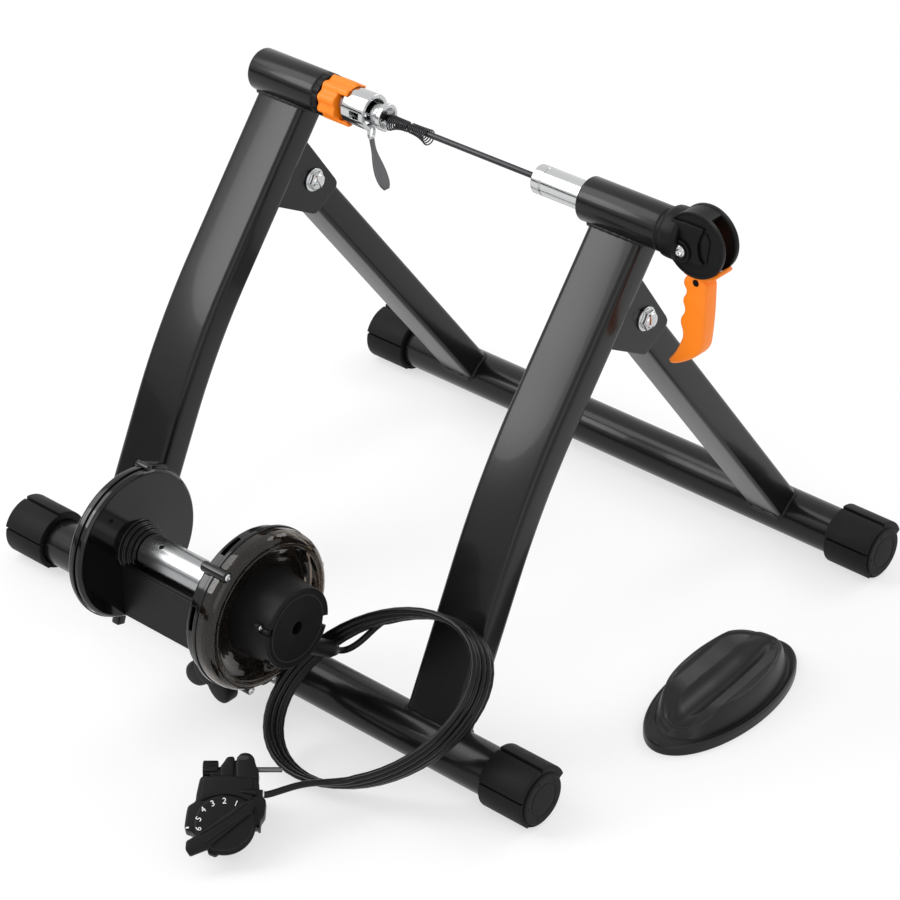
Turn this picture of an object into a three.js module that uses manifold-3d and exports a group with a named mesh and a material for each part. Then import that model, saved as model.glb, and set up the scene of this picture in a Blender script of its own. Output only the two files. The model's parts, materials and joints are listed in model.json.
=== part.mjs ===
// Folding wheel-on cycle trainer: a steel A-frame that clamps the rear axle, a magnetic
// resistance unit with its remote and cable, and the riser block for the front wheel.
// Lengths are millimetres. X runs along the axle, Y from the rear bar to the front bar, Z up.
import * as THREE from 'three';
import { mergeVertices } from 'three/addons/utils/BufferGeometryUtils.js';
import Module from 'manifold-3d';

const wasm = await Module();
wasm.setup();

// Shared clearances
const seatGap = 0.3;
const runGap = 0.5;
const overrun = 2;

// Floor bars and levelling caps
const rearBarSpan = 546;
const frontBarSpan = 540;
const barSpacing = 422.8;
const barRadius = 19;
const barWall = 1.6;
const capLength = 42;
const capFloor = 5;
const capRadius = 22.6;
const capSectorStep = 1.1;
const capSlotDepth = 0.8;
const capFaceInset = 1.8;

// Uprights and axle barrels
const axleY = 207.2;
const axleZ = 376.5;
const uprightX = 166;
const uprightWidth = 48;
const uprightDepth = 26;
const uprightWall = 2;
const uprightFootLean = THREE.MathUtils.degToRad(4.85);
const uprightTopLean = THREE.MathUtils.degToRad(7.15);
const uprightFootSetback = 2.3;
const uprightTopSetback = 12.5;
const uprightTopCut = 6;
const uprightBendLength = 120;
const barrelRadius = 17;
const leftBarrelLength = 67;
const rightBarrelLength = 72;
const barrelLeftFace = 126.6;
const barrelRightFace = 134.6;
const barrelPlug = 10;
const barrelCrown = 1.2;

// Folding stand: struts, gussets and pivots
const pivotSetback = 2.8;
const pivotDrop = 80.8;
const strutWidth = 35;
const strutDepth = 25;
const strutWall = 2;
const strutHeadReach = 14;
const gussetThickness = 3;
const gussetOut = [5.9, 32.5];
const gussetUnder = [-23.9, 20.9];
const gussetRise = 24;
const gussetDrop = 31.2;
const gussetCorner = 7;
const boltRadius = 4;
const boltHeadRadius = 8;
const boltHeadHeight = 5.5;
const washerRadius = 9.5;
const washerThickness = 1.6;

// Left clamp: thrust ring, adjuster, cup, quick release and skewer
const ringLength = 5.2;
const ringFlute = 0.6;
const studRadius = 8;
const studReach = 46;
const adjusterRadius = 17.4;
const adjusterBody = 17;
const adjusterCrown = 9;
const adjusterScallop = 1.6;
const cupRadius = 14.6;
const cupLength = 25;
const cupStart = 100.6;
const cupBore = 11.2;
const cupFloor = 4;
const cupSlot = 12;
const headRadius = 8.6;
const headFlangeRadius = 10.8;
const headFlangeLength = 4.5;
const headFace = 62;
const headRecess = 7;
const headRecessDepth = 6;
const leverLength = 52;
const leverLean = 15.5;
const leverBow = 0.28;
const leverThickness = 3.6;
const leverRootWidth = 8;
const leverTipWidth = 13;
const leverX = 79;
const leverBarrel = 2.4;
const leverSteps = 6;
const rodRadius = 2.4;
const rodSeat = 6;
const springWire = 0.55;
const springBigRadius = 6.2;
const springPitch = 3.1;
const springCurls = 6;
const springStart = 59.5;
const springBreak = 2;

// Right clamp: sleeve, cam housing, handle
const sleeveRadius = 11.25;
const sleeveFace = 87.6;
const sleeveCapLength = 8.4;
const sleeveGroove = 0.5;
const sleeveGrooveWidth = 1;
const socketRadius = 8.6;
const socketDepth = 17;
const nutRadius = 7.5;
const nutLength = 9;
const nutInset = 3;
const camReach = 30.6;
const camX = barrelRightFace + rightBarrelLength + camReach;
const camLift = 1.4;
const cheekRadius = 25;
const cheekThickness = 3.5;
const cheekSpan = 18;
const camBigRadius = 19.5;
const camFall = 3;
const camRange = THREE.MathUtils.degToRad(100);
const camPinRadius = 4;
const neckReach = 8;
const camSteps = 36;
const camOverturn = 0.2;
const lipShares = [-0.62, -0.2];
const screwRadius = 4.6;
const screwHeight = 2.6;
const screwSocket = 2.2;
const handleThickness = 14;
const handleLength = 100;
const handleWidth = 20;
const handleLip = 2.8;

// Resistance unit
const unitY = -70;
const unitZ = 128.3;
const rollerRadius = 13.75;
const rollerLeft = -49.7;
const rollerRight = 45.5;
const rollerHole = 2;
const rollerHoleInset = 17.2;
const rollerHoleTurn = THREE.MathUtils.degToRad(18);
const shaftRadius = 4;
const bearingRadius = 11;
const bearingWidth = 7;
const flywheelRadius = 52;
const flywheelWidth = 8.5;
const coverRadius = 59;
const smokeRadius = 61.8;
const coverWall = 2;
const leftCoverFace = -77.8;
const leftCoverSeam = -70;
const leftCoverInner = -62.6;
const collarRadius = 20;
const collarStep = 1.6;
const coverEdge = 2;
const rightBackFace = 47;
const rightSeam = 57;
const rightCoverDepth = 16;
const hubFace = 101.3;
const hubRadius = 31.2;
const hubBaseRadius = 35;
const hubWall = 2.5;
const hubHole = 5.2;
const hubEdge = 1.5;
const glandRadius = 6.5;
const glandReach = 66;
const glandTaper = 7;
const glandTip = 4.2;
const glandOffset = 13.1;
const glandAngle = THREE.MathUtils.degToRad(-34);
const glandX = 92;
const cableRadius = 2.5;
const eddyRadius = 51;
const eddyThickness = 3.4;
const magnetRadius = 46;
const magnetPlate = 2.4;
const magnetHeight = 1.6;
const magnetSize = 8;
const magnetCount = 6;
const magnetBore = 7;
const beamFront = 18;
const beamBack = 20;
const beamTop = 20.3;
const beamDepth = 53.3;
const beamLip = 13;
const beamWall = 3;

// Tilt bracket, arm and tension knob
const tiltY = -30;
const tiltZ = 30;
const armX = 7;
const armInside = 26;
const plateThickness = 3;
const tiltPinRadius = 4;
const bracketInset = 16;
const tensionZ = 48;
const tensionRadius = 4;
const armWebY = -59;
const knobThickness = 13;
const knobReach = 20;
const knobLobe = 8.5;
const knobHub = 12;
const knobStep = 2;
const knobTurn = THREE.MathUtils.degToRad(-7);
const weldNutRadius = 7;
const weldNutLength = 5;
const tensionOver = 4;
const tensionSpringRadius = 8;
const tensionWire = 0.9;
const tensionCurls = 8;

// Remote shifter, lying on its clamp
const dialX = 125.6;
const dialY = -173.8;
const dialRadius = 21.5;
const dialThickness = 3;
const dialGripTurn = THREE.MathUtils.degToRad(38);
const remoteLean = THREE.MathUtils.degToRad(57.4);
const remoteTurn = THREE.MathUtils.degToRad(41.5);
const drumRadius = 22;
const drumTip = 12.1;
const drumDepth = 21.9;
const neckDepth = 14;
const neckLength = 36.6;
const earGap = 1.4;
const earSplit = 6.2;
const earLeftWidth = 10;
const earRightWidth = 15.7;
const earLength = 15.9;
const clampX = 3.9;
const clampRadius = 15;
const clampBore = 11.4;
const clampLength = 18;
const clampSetback = 23;
const leverBarHeight = 4.5;
const screwKnobRadius = 6.6;
const screwKnobLength = 11;
const screwKnobRibs = 16;
const screwRodRadius = 1.9;
const screwRodReach = 45.5;
const screwSetback = 43.5;
const screwDrop = 7;
const inletRadius = 4.2;
const inletFrom = 16.4;
const inletLength = 10;
const inletSetback = 23.5;

// Cable loops
const coilX = 140.4;
const coilY = -21.6;
const coilHalfWidth = 71.3;
const coilHalfHeight = 75.9;
const coilSlant = 30.3;
const coilLean = THREE.MathUtils.degToRad(48.4);
const coilPitch = 5.7;
const coilSway = 2;
const coilStart = THREE.MathUtils.degToRad(135);
const coilEnd = THREE.MathUtils.degToRad(-50);
const coilExtraTurns = 4;
const coilLift = 0.3;
const leadSides = 8;
const leadStep = 2.4;

// Front wheel riser block
const riserX = 275.6;
const riserY = 205;
const riserHalfLength = 84.5;
const riserHalfWidth = 39.6;
const riserFlange = 8;
const riserHeight = 31;
const riserBodyShare = 0.83;
const riserTurn = THREE.MathUtils.degToRad(3);
const riserSteps = 40;
const grooveRadius = 14;
const grooveFloor = 12;

// Steps round a circle, by how large the round is
const fine = 32;
const medium = 24;
const small = 14;

const finish = (color, roughness, metalness = 0) => ({ color, roughness, metalness });
const paint = finish(0x0d0d0e, 0.28);
const rubber = finish(0x161617, 0.75);
const plastic = finish(0x121214, 0.45);
const gloss = finish(0x0b0b0d, 0.12);
const smoke = finish(0x2a211b, 0.1);
const orange = finish(0xff7a00, 0.42);
const chrome = finish(0xd8dadc, 0.15, 1);
const steel = finish(0xa9acaf, 0.35, 1);
const darkSteel = finish(0x3c3c3e, 0.45, 0.8);

// Removes seams and collapsed faces, and turns the faces outward
function closed(geometry) {
  const bare = geometry.clone();
  bare.deleteAttribute('normal');
  bare.deleteAttribute('uv');
  const merged = mergeVertices(bare, 1e-4);
  const index = merged.index.array;
  const point = merged.attributes.position;
  const kept = [];
  const [a, b, c] = [new THREE.Vector3(), new THREE.Vector3(), new THREE.Vector3()];
  let volume = 0;
  for (let i = 0; i < index.length; i += 3) {
    const [p, q, r] = [index[i], index[i + 1], index[i + 2]];
    if (p === q || q === r || r === p) continue;
    kept.push(p, q, r);
    a.fromBufferAttribute(point, p);
    b.fromBufferAttribute(point, q);
    c.fromBufferAttribute(point, r);
    volume += a.dot(b.cross(c));
  }
  if (volume < 0) kept.reverse();
  merged.setIndex(kept);
  return merged;
}

function solid(geometry) {
  const shell = closed(geometry);
  const vertProperties = new Float32Array(shell.attributes.position.array);
  const triVerts = new Uint32Array(shell.index.array);
  return new wasm.Manifold(new wasm.Mesh({ numProp: 3, vertProperties, triVerts }));
}

function geometryOf(body) {
  const mesh = body.getMesh();
  const geometry = new THREE.BufferGeometry();
  geometry.setAttribute('position', new THREE.BufferAttribute(new Float32Array(mesh.vertProperties), 3));
  geometry.setIndex(Array.from(mesh.triVerts));
  return geometry;
}

function cut(geometry, ...tools) {
  return geometryOf(tools.reduce((body, tool) => body.subtract(solid(tool)), solid(geometry)));
}

function join(geometry, ...others) {
  return geometryOf(others.reduce((body, other) => body.add(solid(other)), solid(geometry)));
}

function common(geometry, other) {
  return geometryOf(solid(geometry).intersect(solid(other)));
}

// A box given by its low and high corners
function block(low, high) {
  const size = high.map((value, axis) => value - low[axis]);
  const geometry = new THREE.BoxGeometry(...size);
  return geometry.translate(...low.map((value, axis) => value + size[axis] / 2));
}

// A profile of [place along X, radius] pairs turned about X, then moved to y, z
function turned(profile, y = 0, z = 0, steps = medium) {
  const points = profile.map(([along, radius]) => new THREE.Vector2(radius, along));
  return new THREE.LatheGeometry(points, steps).rotateZ(-Math.PI / 2).translate(0, y, z);
}

function rodX(radius, from, to, y = 0, z = 0, steps = medium) {
  return turned([[from, 0], [from, radius], [to, radius], [to, 0]], y, z, steps);
}

function tubeX(radius, bore, from, to, y = 0, z = 0, steps = medium) {
  return turned([[from, bore], [from, radius], [to, radius], [to, bore], [from, bore]], y, z, steps);
}

// The same rod along Y: its ends are places on Y
function rodY(radius, from, to, x, z, steps = medium) {
  return rodX(radius, from, to, 0, 0, steps).rotateZ(Math.PI / 2).translate(x, 0, z);
}

function rodZ(radius, from, to, x, y, steps = medium) {
  return rodX(radius, from, to, 0, 0, steps).rotateY(-Math.PI / 2).translate(x, y, 0);
}

function ringShape(points, holes = []) {
  const outline = points.map(([u, v]) => new THREE.Vector2(u, v));
  const shape = new THREE.Shape(THREE.ShapeUtils.isClockWise(outline) ? outline.reverse() : outline);
  holes.forEach(([u, v, radius]) => {
    const hole = new THREE.Path();
    hole.absarc(u, v, radius, 0, Math.PI * 2, true);
    shape.holes.push(hole);
  });
  return shape;
}

// An outline of [y, z] points given a thickness along X, from one place to another
function plateX(points, from, to, holes = [], curveSegments = 6) {
  const settings = { depth: to - from, bevelEnabled: false, curveSegments };
  const geometry = new THREE.ExtrudeGeometry(ringShape(points, holes), settings);
  return geometry.rotateY(Math.PI / 2).rotateX(Math.PI / 2).translate(from, 0, 0);
}

// An outline of [x, z] points given a thickness along Y
function plateY(points, from, to, holes = [], curveSegments = 6) {
  const settings = { depth: to - from, bevelEnabled: false, curveSegments };
  const geometry = new THREE.ExtrudeGeometry(ringShape(points, holes), settings);
  return geometry.rotateX(Math.PI / 2).translate(0, to, 0);
}

// An outline of [x, y] points given a height
function plateZ(points, from, to) {
  const settings = { depth: to - from, bevelEnabled: false };
  return new THREE.ExtrudeGeometry(ringShape(points), settings).translate(0, 0, from);
}

function arcPoints(u, v, radius, start, end, steps) {
  return Array.from({ length: steps + 1 }, (_, i) => {
    const angle = start + ((end - start) * i) / steps;
    return [u + radius * Math.cos(angle), v + radius * Math.sin(angle)];
  });
}

// A polygon whose corners are rounded by one radius
function roundedOutline(corners, radius, steps = 3) {
  return corners.flatMap((corner, i) => {
    const at = new THREE.Vector2(...corner);
    const before = new THREE.Vector2(...corners.at(i - 1)).sub(at).normalize();
    const after = new THREE.Vector2(...corners[(i + 1) % corners.length]).sub(at).normalize();
    const half = Math.acos(THREE.MathUtils.clamp(before.dot(after), -1, 1)) / 2;
    const reach = radius / Math.tan(half);
    const from = at.clone().addScaledVector(before, reach);
    const to = at.clone().addScaledVector(after, reach);
    return Array.from({ length: steps + 1 }, (_, step) => {
      const share = step / steps;
      const one = from.clone().lerp(at, share);
      const two = at.clone().lerp(to, share);
      const point = one.lerp(two, share);
      return [point.x, point.y];
    });
  });
}

// One unbroken tube through points, carried by a frame that never flips
function tubeThrough(points, radius, sides) {
  const count = points.length;
  const tangents = points.map((_, i) => {
    const ahead = points[Math.min(i + 1, count - 1)];
    const behind = points[Math.max(i - 1, 0)];
    return ahead.clone().sub(behind).normalize();
  });
  const seed = Math.abs(tangents[0].z) < 0.9 ? new THREE.Vector3(0, 0, 1) : new THREE.Vector3(1, 0, 0);
  let side = seed.cross(tangents[0]).normalize();
  const vertices = [];
  points.forEach((point, i) => {
    side = side.addScaledVector(tangents[i], -side.dot(tangents[i])).normalize();
    const other = tangents[i].clone().cross(side);
    for (let k = 0; k < sides; k += 1) {
      const angle = (k / sides) * Math.PI * 2;
      const place = point.clone();
      place.addScaledVector(side, radius * Math.cos(angle)).addScaledVector(other, radius * Math.sin(angle));
      vertices.push(place.x, place.y, place.z);
    }
  });
  vertices.push(...points[0].toArray(), ...points[count - 1].toArray());
  const [startCentre, endCentre] = [count * sides, count * sides + 1];
  const faces = [];
  for (let k = 0; k < sides; k += 1) {
    const next = (k + 1) % sides;
    for (let i = 0; i < count - 1; i += 1) {
      const [low, high] = [i * sides, (i + 1) * sides];
      faces.push(low + k, low + next, high + next, low + k, high + next, high + k);
    }
    const last = (count - 1) * sides;
    faces.push(startCentre, next, k, endCentre, last + k, last + next);
  }
  const geometry = new THREE.BufferGeometry();
  geometry.setAttribute('position', new THREE.Float32BufferAttribute(vertices, 3));
  geometry.setIndex(faces);
  return geometry;
}

// The least distance between stretches of one route that lie over half a turn apart
function leastSelfGap(points, stepsPerTurn, diameter) {
  let least = Infinity;
  const segment = new THREE.Line3();
  const nearest = new THREE.Vector3();
  for (let i = 0; i < points.length; i += 1) {
    for (let k = i + Math.ceil(stepsPerTurn / 2); k < points.length - 1; k += 1) {
      segment.set(points[k], points[k + 1]);
      segment.closestPointToPoint(points[i], true, nearest);
      least = Math.min(least, nearest.distanceTo(points[i]));
    }
  }
  return least - diameter;
}

const trainer = new THREE.Group();

function add(name, geometry, look, parent = trainer) {
  const mesh = new THREE.Mesh(closed(geometry), new THREE.MeshStandardMaterial(look));
  mesh.name = name;
  parent.add(mesh);
  return mesh;
}

// Floor bars
const barZ = capRadius;

function floorBar(span) {
  const end = span / 2 - capFloor - seatGap;
  return tubeX(barRadius, barRadius - barWall, -end, end, 0, barZ, fine);
}

add('rear_bar', floorBar(rearBarSpan), paint);
add('front_bar', floorBar(frontBarSpan).translate(0, barSpacing, 0), paint);

// Levelling caps: five wall sectors, each thicker than the last, to stand on any one of them
const capSectors = 5;
const capSectorShare = 0.93;
const capThinnest = capRadius - capSectorStep;

function capOutline() {
  const points = [];
  const pitch = (Math.PI * 2) / capSectors;
  for (let sector = 0; sector < capSectors; sector += 1) {
    const middle = -Math.PI / 2 + (sector - 1) * pitch;
    const radius = capThinnest + ((capSectors + 2 - sector) % capSectors) * capSectorStep;
    const half = (pitch / 2) * capSectorShare;
    const valley = capThinnest - capSlotDepth;
    points.push([valley * Math.cos(middle - pitch / 2), valley * Math.sin(middle - pitch / 2)]);
    points.push(...arcPoints(0, 0, radius, middle - half, middle + half, 5));
  }
  return points;
}

function levellingCap() {
  const body = plateX(capOutline(), -capLength, -capFaceInset);
  const least = capThinnest - capSlotDepth;
  const rear = -capFaceInset - seatGap;
  const face = [[rear, 0], [rear, least], [0, least - capFaceInset / 2], [0, 0]];
  const bore = rodX(barRadius + seatGap, -capLength - overrun, -capFloor, 0, 0, fine);
  return cut(join(body, turned(face, 0, 0, fine)), bore);
}

const capSpots = [
  ['rear_right_cap', rearBarSpan / 2, 0, 1],
  ['rear_left_cap', rearBarSpan / 2, 0, -1],
  ['front_right_cap', frontBarSpan / 2, barSpacing, 1],
  ['front_left_cap', frontBarSpan / 2, barSpacing, -1],
];
capSpots.forEach(([name, x, y, side]) => {
  const cap = levellingCap().translate(x, y, barZ);
  add(name, side > 0 ? cap : cap.scale(-1, 1, 1), rubber);
});

// Uprights: rectangular tube with one gentle bend, coped onto the bar and the barrel
const chordAngle = Math.atan2(axleY, axleZ - barZ);
const uprightFootAngle = chordAngle - uprightFootLean;
const uprightTopAngle = chordAngle + uprightTopLean;
const along = (angle) => new THREE.Vector2(Math.sin(angle), Math.cos(angle));
const behind = (angle) => new THREE.Vector2(Math.cos(angle), -Math.sin(angle));
const footPoint = new THREE.Vector2(0, barZ).addScaledVector(behind(uprightFootAngle), uprightFootSetback);
const topPoint = new THREE.Vector2(axleY, axleZ).addScaledVector(behind(uprightTopAngle), uprightTopSetback);

function crossing(from, direction, to, other) {
  const gap = to.clone().sub(from);
  return from.clone().addScaledVector(direction, gap.cross(other) / direction.cross(other));
}

function uprightStrip(depth, extension) {
  const [foot, top] = [along(uprightFootAngle), along(uprightTopAngle)];
  const corner = crossing(footPoint, foot, topPoint, top);
  const turn = uprightTopAngle - uprightFootAngle;
  const reach = uprightBendLength / 2;
  const radius = reach / Math.tan(turn / 2);
  const bendStart = corner.clone().addScaledVector(foot, -reach);
  const centre = bendStart.clone().addScaledVector(behind(uprightFootAngle), radius);
  const side = (offset) => {
    const points = [footPoint.clone().addScaledVector(foot, -extension)];
    points[0].addScaledVector(behind(uprightFootAngle), offset);
    for (let i = 0; i <= 6; i += 1) {
      const angle = uprightFootAngle + (turn * i) / 6;
      points.push(centre.clone().addScaledVector(behind(angle), offset - radius));
    }
    const end = topPoint.clone().addScaledVector(top, extension - uprightTopCut);
    return [...points, end.addScaledVector(behind(uprightTopAngle), offset)];
  };
  return [...side(-depth / 2), ...side(depth / 2).reverse()].map((point) => point.toArray());
}

function upright(side) {
  const [low, high] = [-uprightWidth / 2, uprightWidth / 2];
  const outer = plateX(uprightStrip(uprightDepth, 0), low, high);
  const hollow = uprightStrip(uprightDepth - 2 * uprightWall, overrun);
  const inner = plateX(hollow, low + uprightWall, high - uprightWall);
  const bar = rodX(barRadius + seatGap, low - overrun, high + overrun, 0, barZ, fine);
  const barrel = rodX(barrelRadius + seatGap, low - overrun, high + overrun, axleY, axleZ, fine);
  return cut(outer, inner, bar, barrel).translate(side * uprightX, 0, 0);
}

add('left_upright', upright(-1), paint);
add('right_upright', upright(1), paint);

// Axle barrels: the left one takes the adjuster stud, the right one guides the sleeve
function leftBarrel() {
  const [inner, outer] = [-barrelLeftFace, -barrelLeftFace - leftBarrelLength];
  const bore = studRadius + seatGap;
  const profile = [[outer - barrelCrown, 0], [outer, barrelRadius - barrelCrown]];
  profile.push([outer + barrelCrown, barrelRadius]);
  profile.push([inner, barrelRadius], [inner, bore], [outer + barrelPlug, bore], [outer + barrelPlug, 0]);
  return turned(profile, axleY, axleZ, fine);
}

const barrelRightEnd = barrelRightFace + rightBarrelLength;
add('left_barrel', leftBarrel(), paint);
const sleeveBore = sleeveRadius + seatGap;
const rightBarrel = tubeX(barrelRadius, sleeveBore, barrelRightFace, barrelRightEnd, axleY, axleZ, fine);
add('right_barrel', rightBarrel, paint);

// Gusset plates: two on each upright, one on each side of the strut
const pivotY = axleY + pivotSetback;
const pivotZ = axleZ - pivotDrop;
const strutSlope = new THREE.Vector2(barSpacing - pivotY, barZ - pivotZ).normalize();
const strutSide = new THREE.Vector2(-strutSlope.y, strutSlope.x);

function gussetOutline() {
  const back = uprightTopSetback + uprightDepth / 2 + seatGap;
  const [up, rear] = [along(uprightTopAngle), behind(uprightTopAngle)];
  const axle = new THREE.Vector2(axleY, axleZ);
  const drop = new THREE.Vector2(pivotY, pivotZ).sub(axle).dot(up);
  const at = (rise, reach) => {
    return axle.clone().addScaledVector(up, drop + rise).addScaledVector(rear, reach).toArray();
  };
  const pivotReach = new THREE.Vector2(pivotY, pivotZ).sub(axle).dot(rear);
  const high = at(gussetRise, back);
  const low = at(-gussetDrop, back);
  const [out, under] = [gussetOut, gussetUnder].map(([rise, reach]) => at(rise, pivotReach + reach));
  return [high, ...roundedOutline([high, out, under, low], gussetCorner).slice(4, 12), low];
}

const gussetOuter = strutWidth / 2 + seatGap + gussetThickness;
[['left', -1], ['right', 1]].forEach(([name, side]) => {
  [['inner', -side], ['outer', side]].forEach(([face, way]) => {
    const middle = side * uprightX;
    const [from, to] = [gussetOuter - gussetThickness, gussetOuter].map((reach) => middle + way * reach);
    const hole = [[pivotY, pivotZ, boltRadius + seatGap]];
    const plate = plateX(gussetOutline(), Math.min(from, to), Math.max(from, to), hole, 5);
    add(`${name}_gusset_${face}`, plate, paint);
  });
});

// Struts: rectangular tube from the pivot to the front bar
function strut(side) {
  const start = new THREE.Vector2(pivotY, pivotZ);
  const end = new THREE.Vector2(barSpacing, barZ);
  const strip = (depth, head, tail) => {
    const first = start.clone().addScaledVector(strutSlope, -head);
    const last = end.clone().addScaledVector(strutSlope, tail);
    const edge = (point, offset) => point.clone().addScaledVector(strutSide, offset).toArray();
    return [edge(first, -depth / 2), edge(last, -depth / 2), edge(last, depth / 2), edge(first, depth / 2)];
  };
  const [low, high] = [-strutWidth / 2, strutWidth / 2];
  const tilt = Math.atan2(strutSlope.y, strutSlope.x);
  const headCentre = start.clone().addScaledVector(strutSlope, -(strutHeadReach - strutDepth / 2));
  const body = strip(strutDepth, strutHeadReach - strutDepth / 2, 0);
  const arc = arcPoints(...headCentre.toArray(), strutDepth / 2, tilt + Math.PI / 2, tilt + Math.PI * 1.5, 8);
  const outer = plateX([...arc, ...body.slice(1, 3)], low, high);
  const hollow = strip(strutDepth - 2 * strutWall, strutHeadReach + overrun, overrun);
  const inner = plateX(hollow, low + strutWall, high - strutWall);
  const bar = rodX(barRadius + seatGap, low - overrun, high + overrun, barSpacing, barZ, fine);
  const bolt = rodX(boltRadius + seatGap, low - overrun, high + overrun, pivotY, pivotZ, small);
  return cut(outer, inner, bar, bolt).translate(side * uprightX, 0, 0);
}

add('left_strut', strut(-1), paint);
add('right_strut', strut(1), paint);

// Pivot bolts with a washer and a domed nut on the side towards +X
function pivotBolt() {
  const face = gussetOuter + seatGap;
  const shank = rodX(boltRadius, -face, face + washerThickness, 0, 0, small);
  const head = turned([[-face - boltHeadHeight, 0], [-face - boltHeadHeight, boltHeadRadius * 0.6],
    [-face - boltHeadHeight / 2, boltHeadRadius], [-face, boltHeadRadius], [-face, 0]], 0, 0, small);
  return join(shank, head);
}

function domedNut() {
  const face = gussetOuter + seatGap;
  const bore = boltRadius + seatGap;
  const crown = face + washerThickness + boltHeadHeight;
  const floor = face + washerThickness + seatGap;
  const profile = [[face, bore], [face, washerRadius], [face + washerThickness, washerRadius],
    [face + washerThickness, boltHeadRadius], [crown - boltHeadHeight / 2, boltHeadRadius * 0.85],
    [crown - boltHeadHeight / 6, boltHeadRadius * 0.5], [crown, 0], [floor, 0], [floor, bore], [face, bore]];
  return turned(profile, 0, 0, small);
}

[['left', -1], ['right', 1]].forEach(([name, side]) => {
  add(`${name}_pivot_bolt`, pivotBolt().translate(side * uprightX, pivotY, pivotZ), chrome);
  add(`${name}_pivot_nut`, domedNut().translate(side * uprightX, pivotY, pivotZ), chrome);
});

// Left clamp, from the barrel towards the wheel
function thrustRing() {
  const flutes = 24;
  const outline = Array.from({ length: flutes * 2 }, (_, i) => {
    const radius = barrelRadius - (i % 2) * ringFlute;
    const angle = (i / flutes) * Math.PI;
    return [radius * Math.cos(angle), radius * Math.sin(angle)];
  });
  const from = -barrelLeftFace + seatGap;
  const bore = [[0, 0, studRadius + runGap]];
  return plateX(outline, from, from + ringLength, bore, 10).translate(0, axleY, axleZ);
}

const adjusterFrom = -barrelLeftFace + ringLength + 2 * seatGap;

function adjusterKnob() {
  const scallops = 9;
  const outline = Array.from({ length: scallops * 6 }, (_, i) => {
    const angle = (i / (scallops * 6)) * Math.PI * 2;
    const radius = adjusterRadius - adjusterScallop * (0.5 - 0.5 * Math.cos(angle * scallops));
    return [radius * Math.cos(angle), radius * Math.sin(angle)];
  });
  const end = adjusterFrom + adjusterBody + adjusterCrown;
  const body = plateX(outline, adjusterFrom, end, [[0, 0, studRadius + seatGap]], 8);
  const seat = cupRadius + runGap;
  const pocket = rodX(seat, adjusterFrom + adjusterBody, end + overrun, 0, 0, medium);
  const gapHalf = adjusterRadius * 0.75;
  const window = block([adjusterFrom + adjusterBody, -adjusterRadius - overrun, -gapHalf],
    [end + overrun, adjusterRadius + overrun, gapHalf]);
  return cut(body, pocket, window).translate(0, axleY, axleZ);
}

// Cup on a threaded stud; the release head sits in it, and its lever hangs through the slot
function leftCup() {
  const [start, end] = [-cupStart, -cupStart + cupLength];
  const floor = start + cupFloor;
  const body = turned([[start - studReach, 0], [start - studReach, studRadius], [start, studRadius],
    [start, cupRadius], [end, cupRadius], [end, cupBore], [floor, cupBore], [floor, 0]]);
  const half = cupSlot / 2;
  const slot = block([floor + cupFloor, -half, -cupRadius - overrun], [end + overrun, half, -cupBore / 2]);
  const window = block([floor + cupFloor, cupBore / 2, -half / 2],
    [end - cupFloor, cupRadius + overrun, half / 2]);
  return cut(body, slot, window, window.clone().rotateX(Math.PI)).translate(0, axleY, axleZ);
}

const headStart = -cupStart + cupFloor + seatGap;

function releaseHead() {
  const shoulder = -headFace - headFlangeLength;
  const recess = -headFace - headRecessDepth;
  const bore = rodRadius + seatGap;
  const profile = [[headStart, 0], [headStart, headRadius], [shoulder, headRadius],
    [shoulder, headFlangeRadius], [-headFace, headFlangeRadius], [-headFace, headRecess],
    [recess, headRecess], [recess, bore], [recess - rodSeat, bore], [recess - rodSeat, 0]];
  return turned(profile, axleY, axleZ);
}

// The lever hangs from a barrel below the head: a thin curved blade that widens towards its tip
function releaseLever() {
  const hingeZ = axleZ - headRadius - seatGap - leverBarrel;
  const low = axleZ - headRadius - seatGap - leverLength;
  const root = new THREE.Vector2(-leverX, hingeZ);
  const middle = new THREE.Vector2(-leverX + leverLean * leverBow, (hingeZ + low) / 2);
  const tip = new THREE.Vector2(-leverX + leverLean, low - overrun);
  const spine = new THREE.QuadraticBezierCurve(root, middle, tip);
  const side = (offset) => Array.from({ length: leverSteps + 1 }, (_, i) => {
    const normal = spine.getTangent(i / leverSteps);
    const at = spine.getPoint(i / leverSteps);
    return [at.x - normal.y * offset, at.y + normal.x * offset];
  });
  const strip = [...side(leverThickness / 2), ...side(-leverThickness / 2).reverse()];
  const blade = plateY(strip, axleY - leverTipWidth, axleY + leverTipWidth);
  const [wide, narrow] = [leverTipWidth / 2, leverRootWidth / 2];
  const high = hingeZ + overrun;
  const outline = [[axleY - narrow, high], [axleY + narrow, high], [axleY + wide, low + wide * 2]];
  outline.push(...arcPoints(axleY, low + wide, wide, 0, -Math.PI, leverSteps));
  outline.push([axleY - wide, low + wide * 2]);
  const shaped = common(blade, plateX(outline, -leverX - leverLean, -leverX + 2 * leverLean));
  return join(shaped, rodY(leverBarrel, axleY - narrow, axleY + narrow, -leverX, hingeZ, small));
}

add('thrust_ring', thrustRing(), plastic);
add('adjuster_knob', adjusterKnob(), orange);
add('left_cup', leftCup(), chrome);
add('release_head', releaseHead(), chrome);
add('release_lever', releaseLever(), steel);

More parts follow.
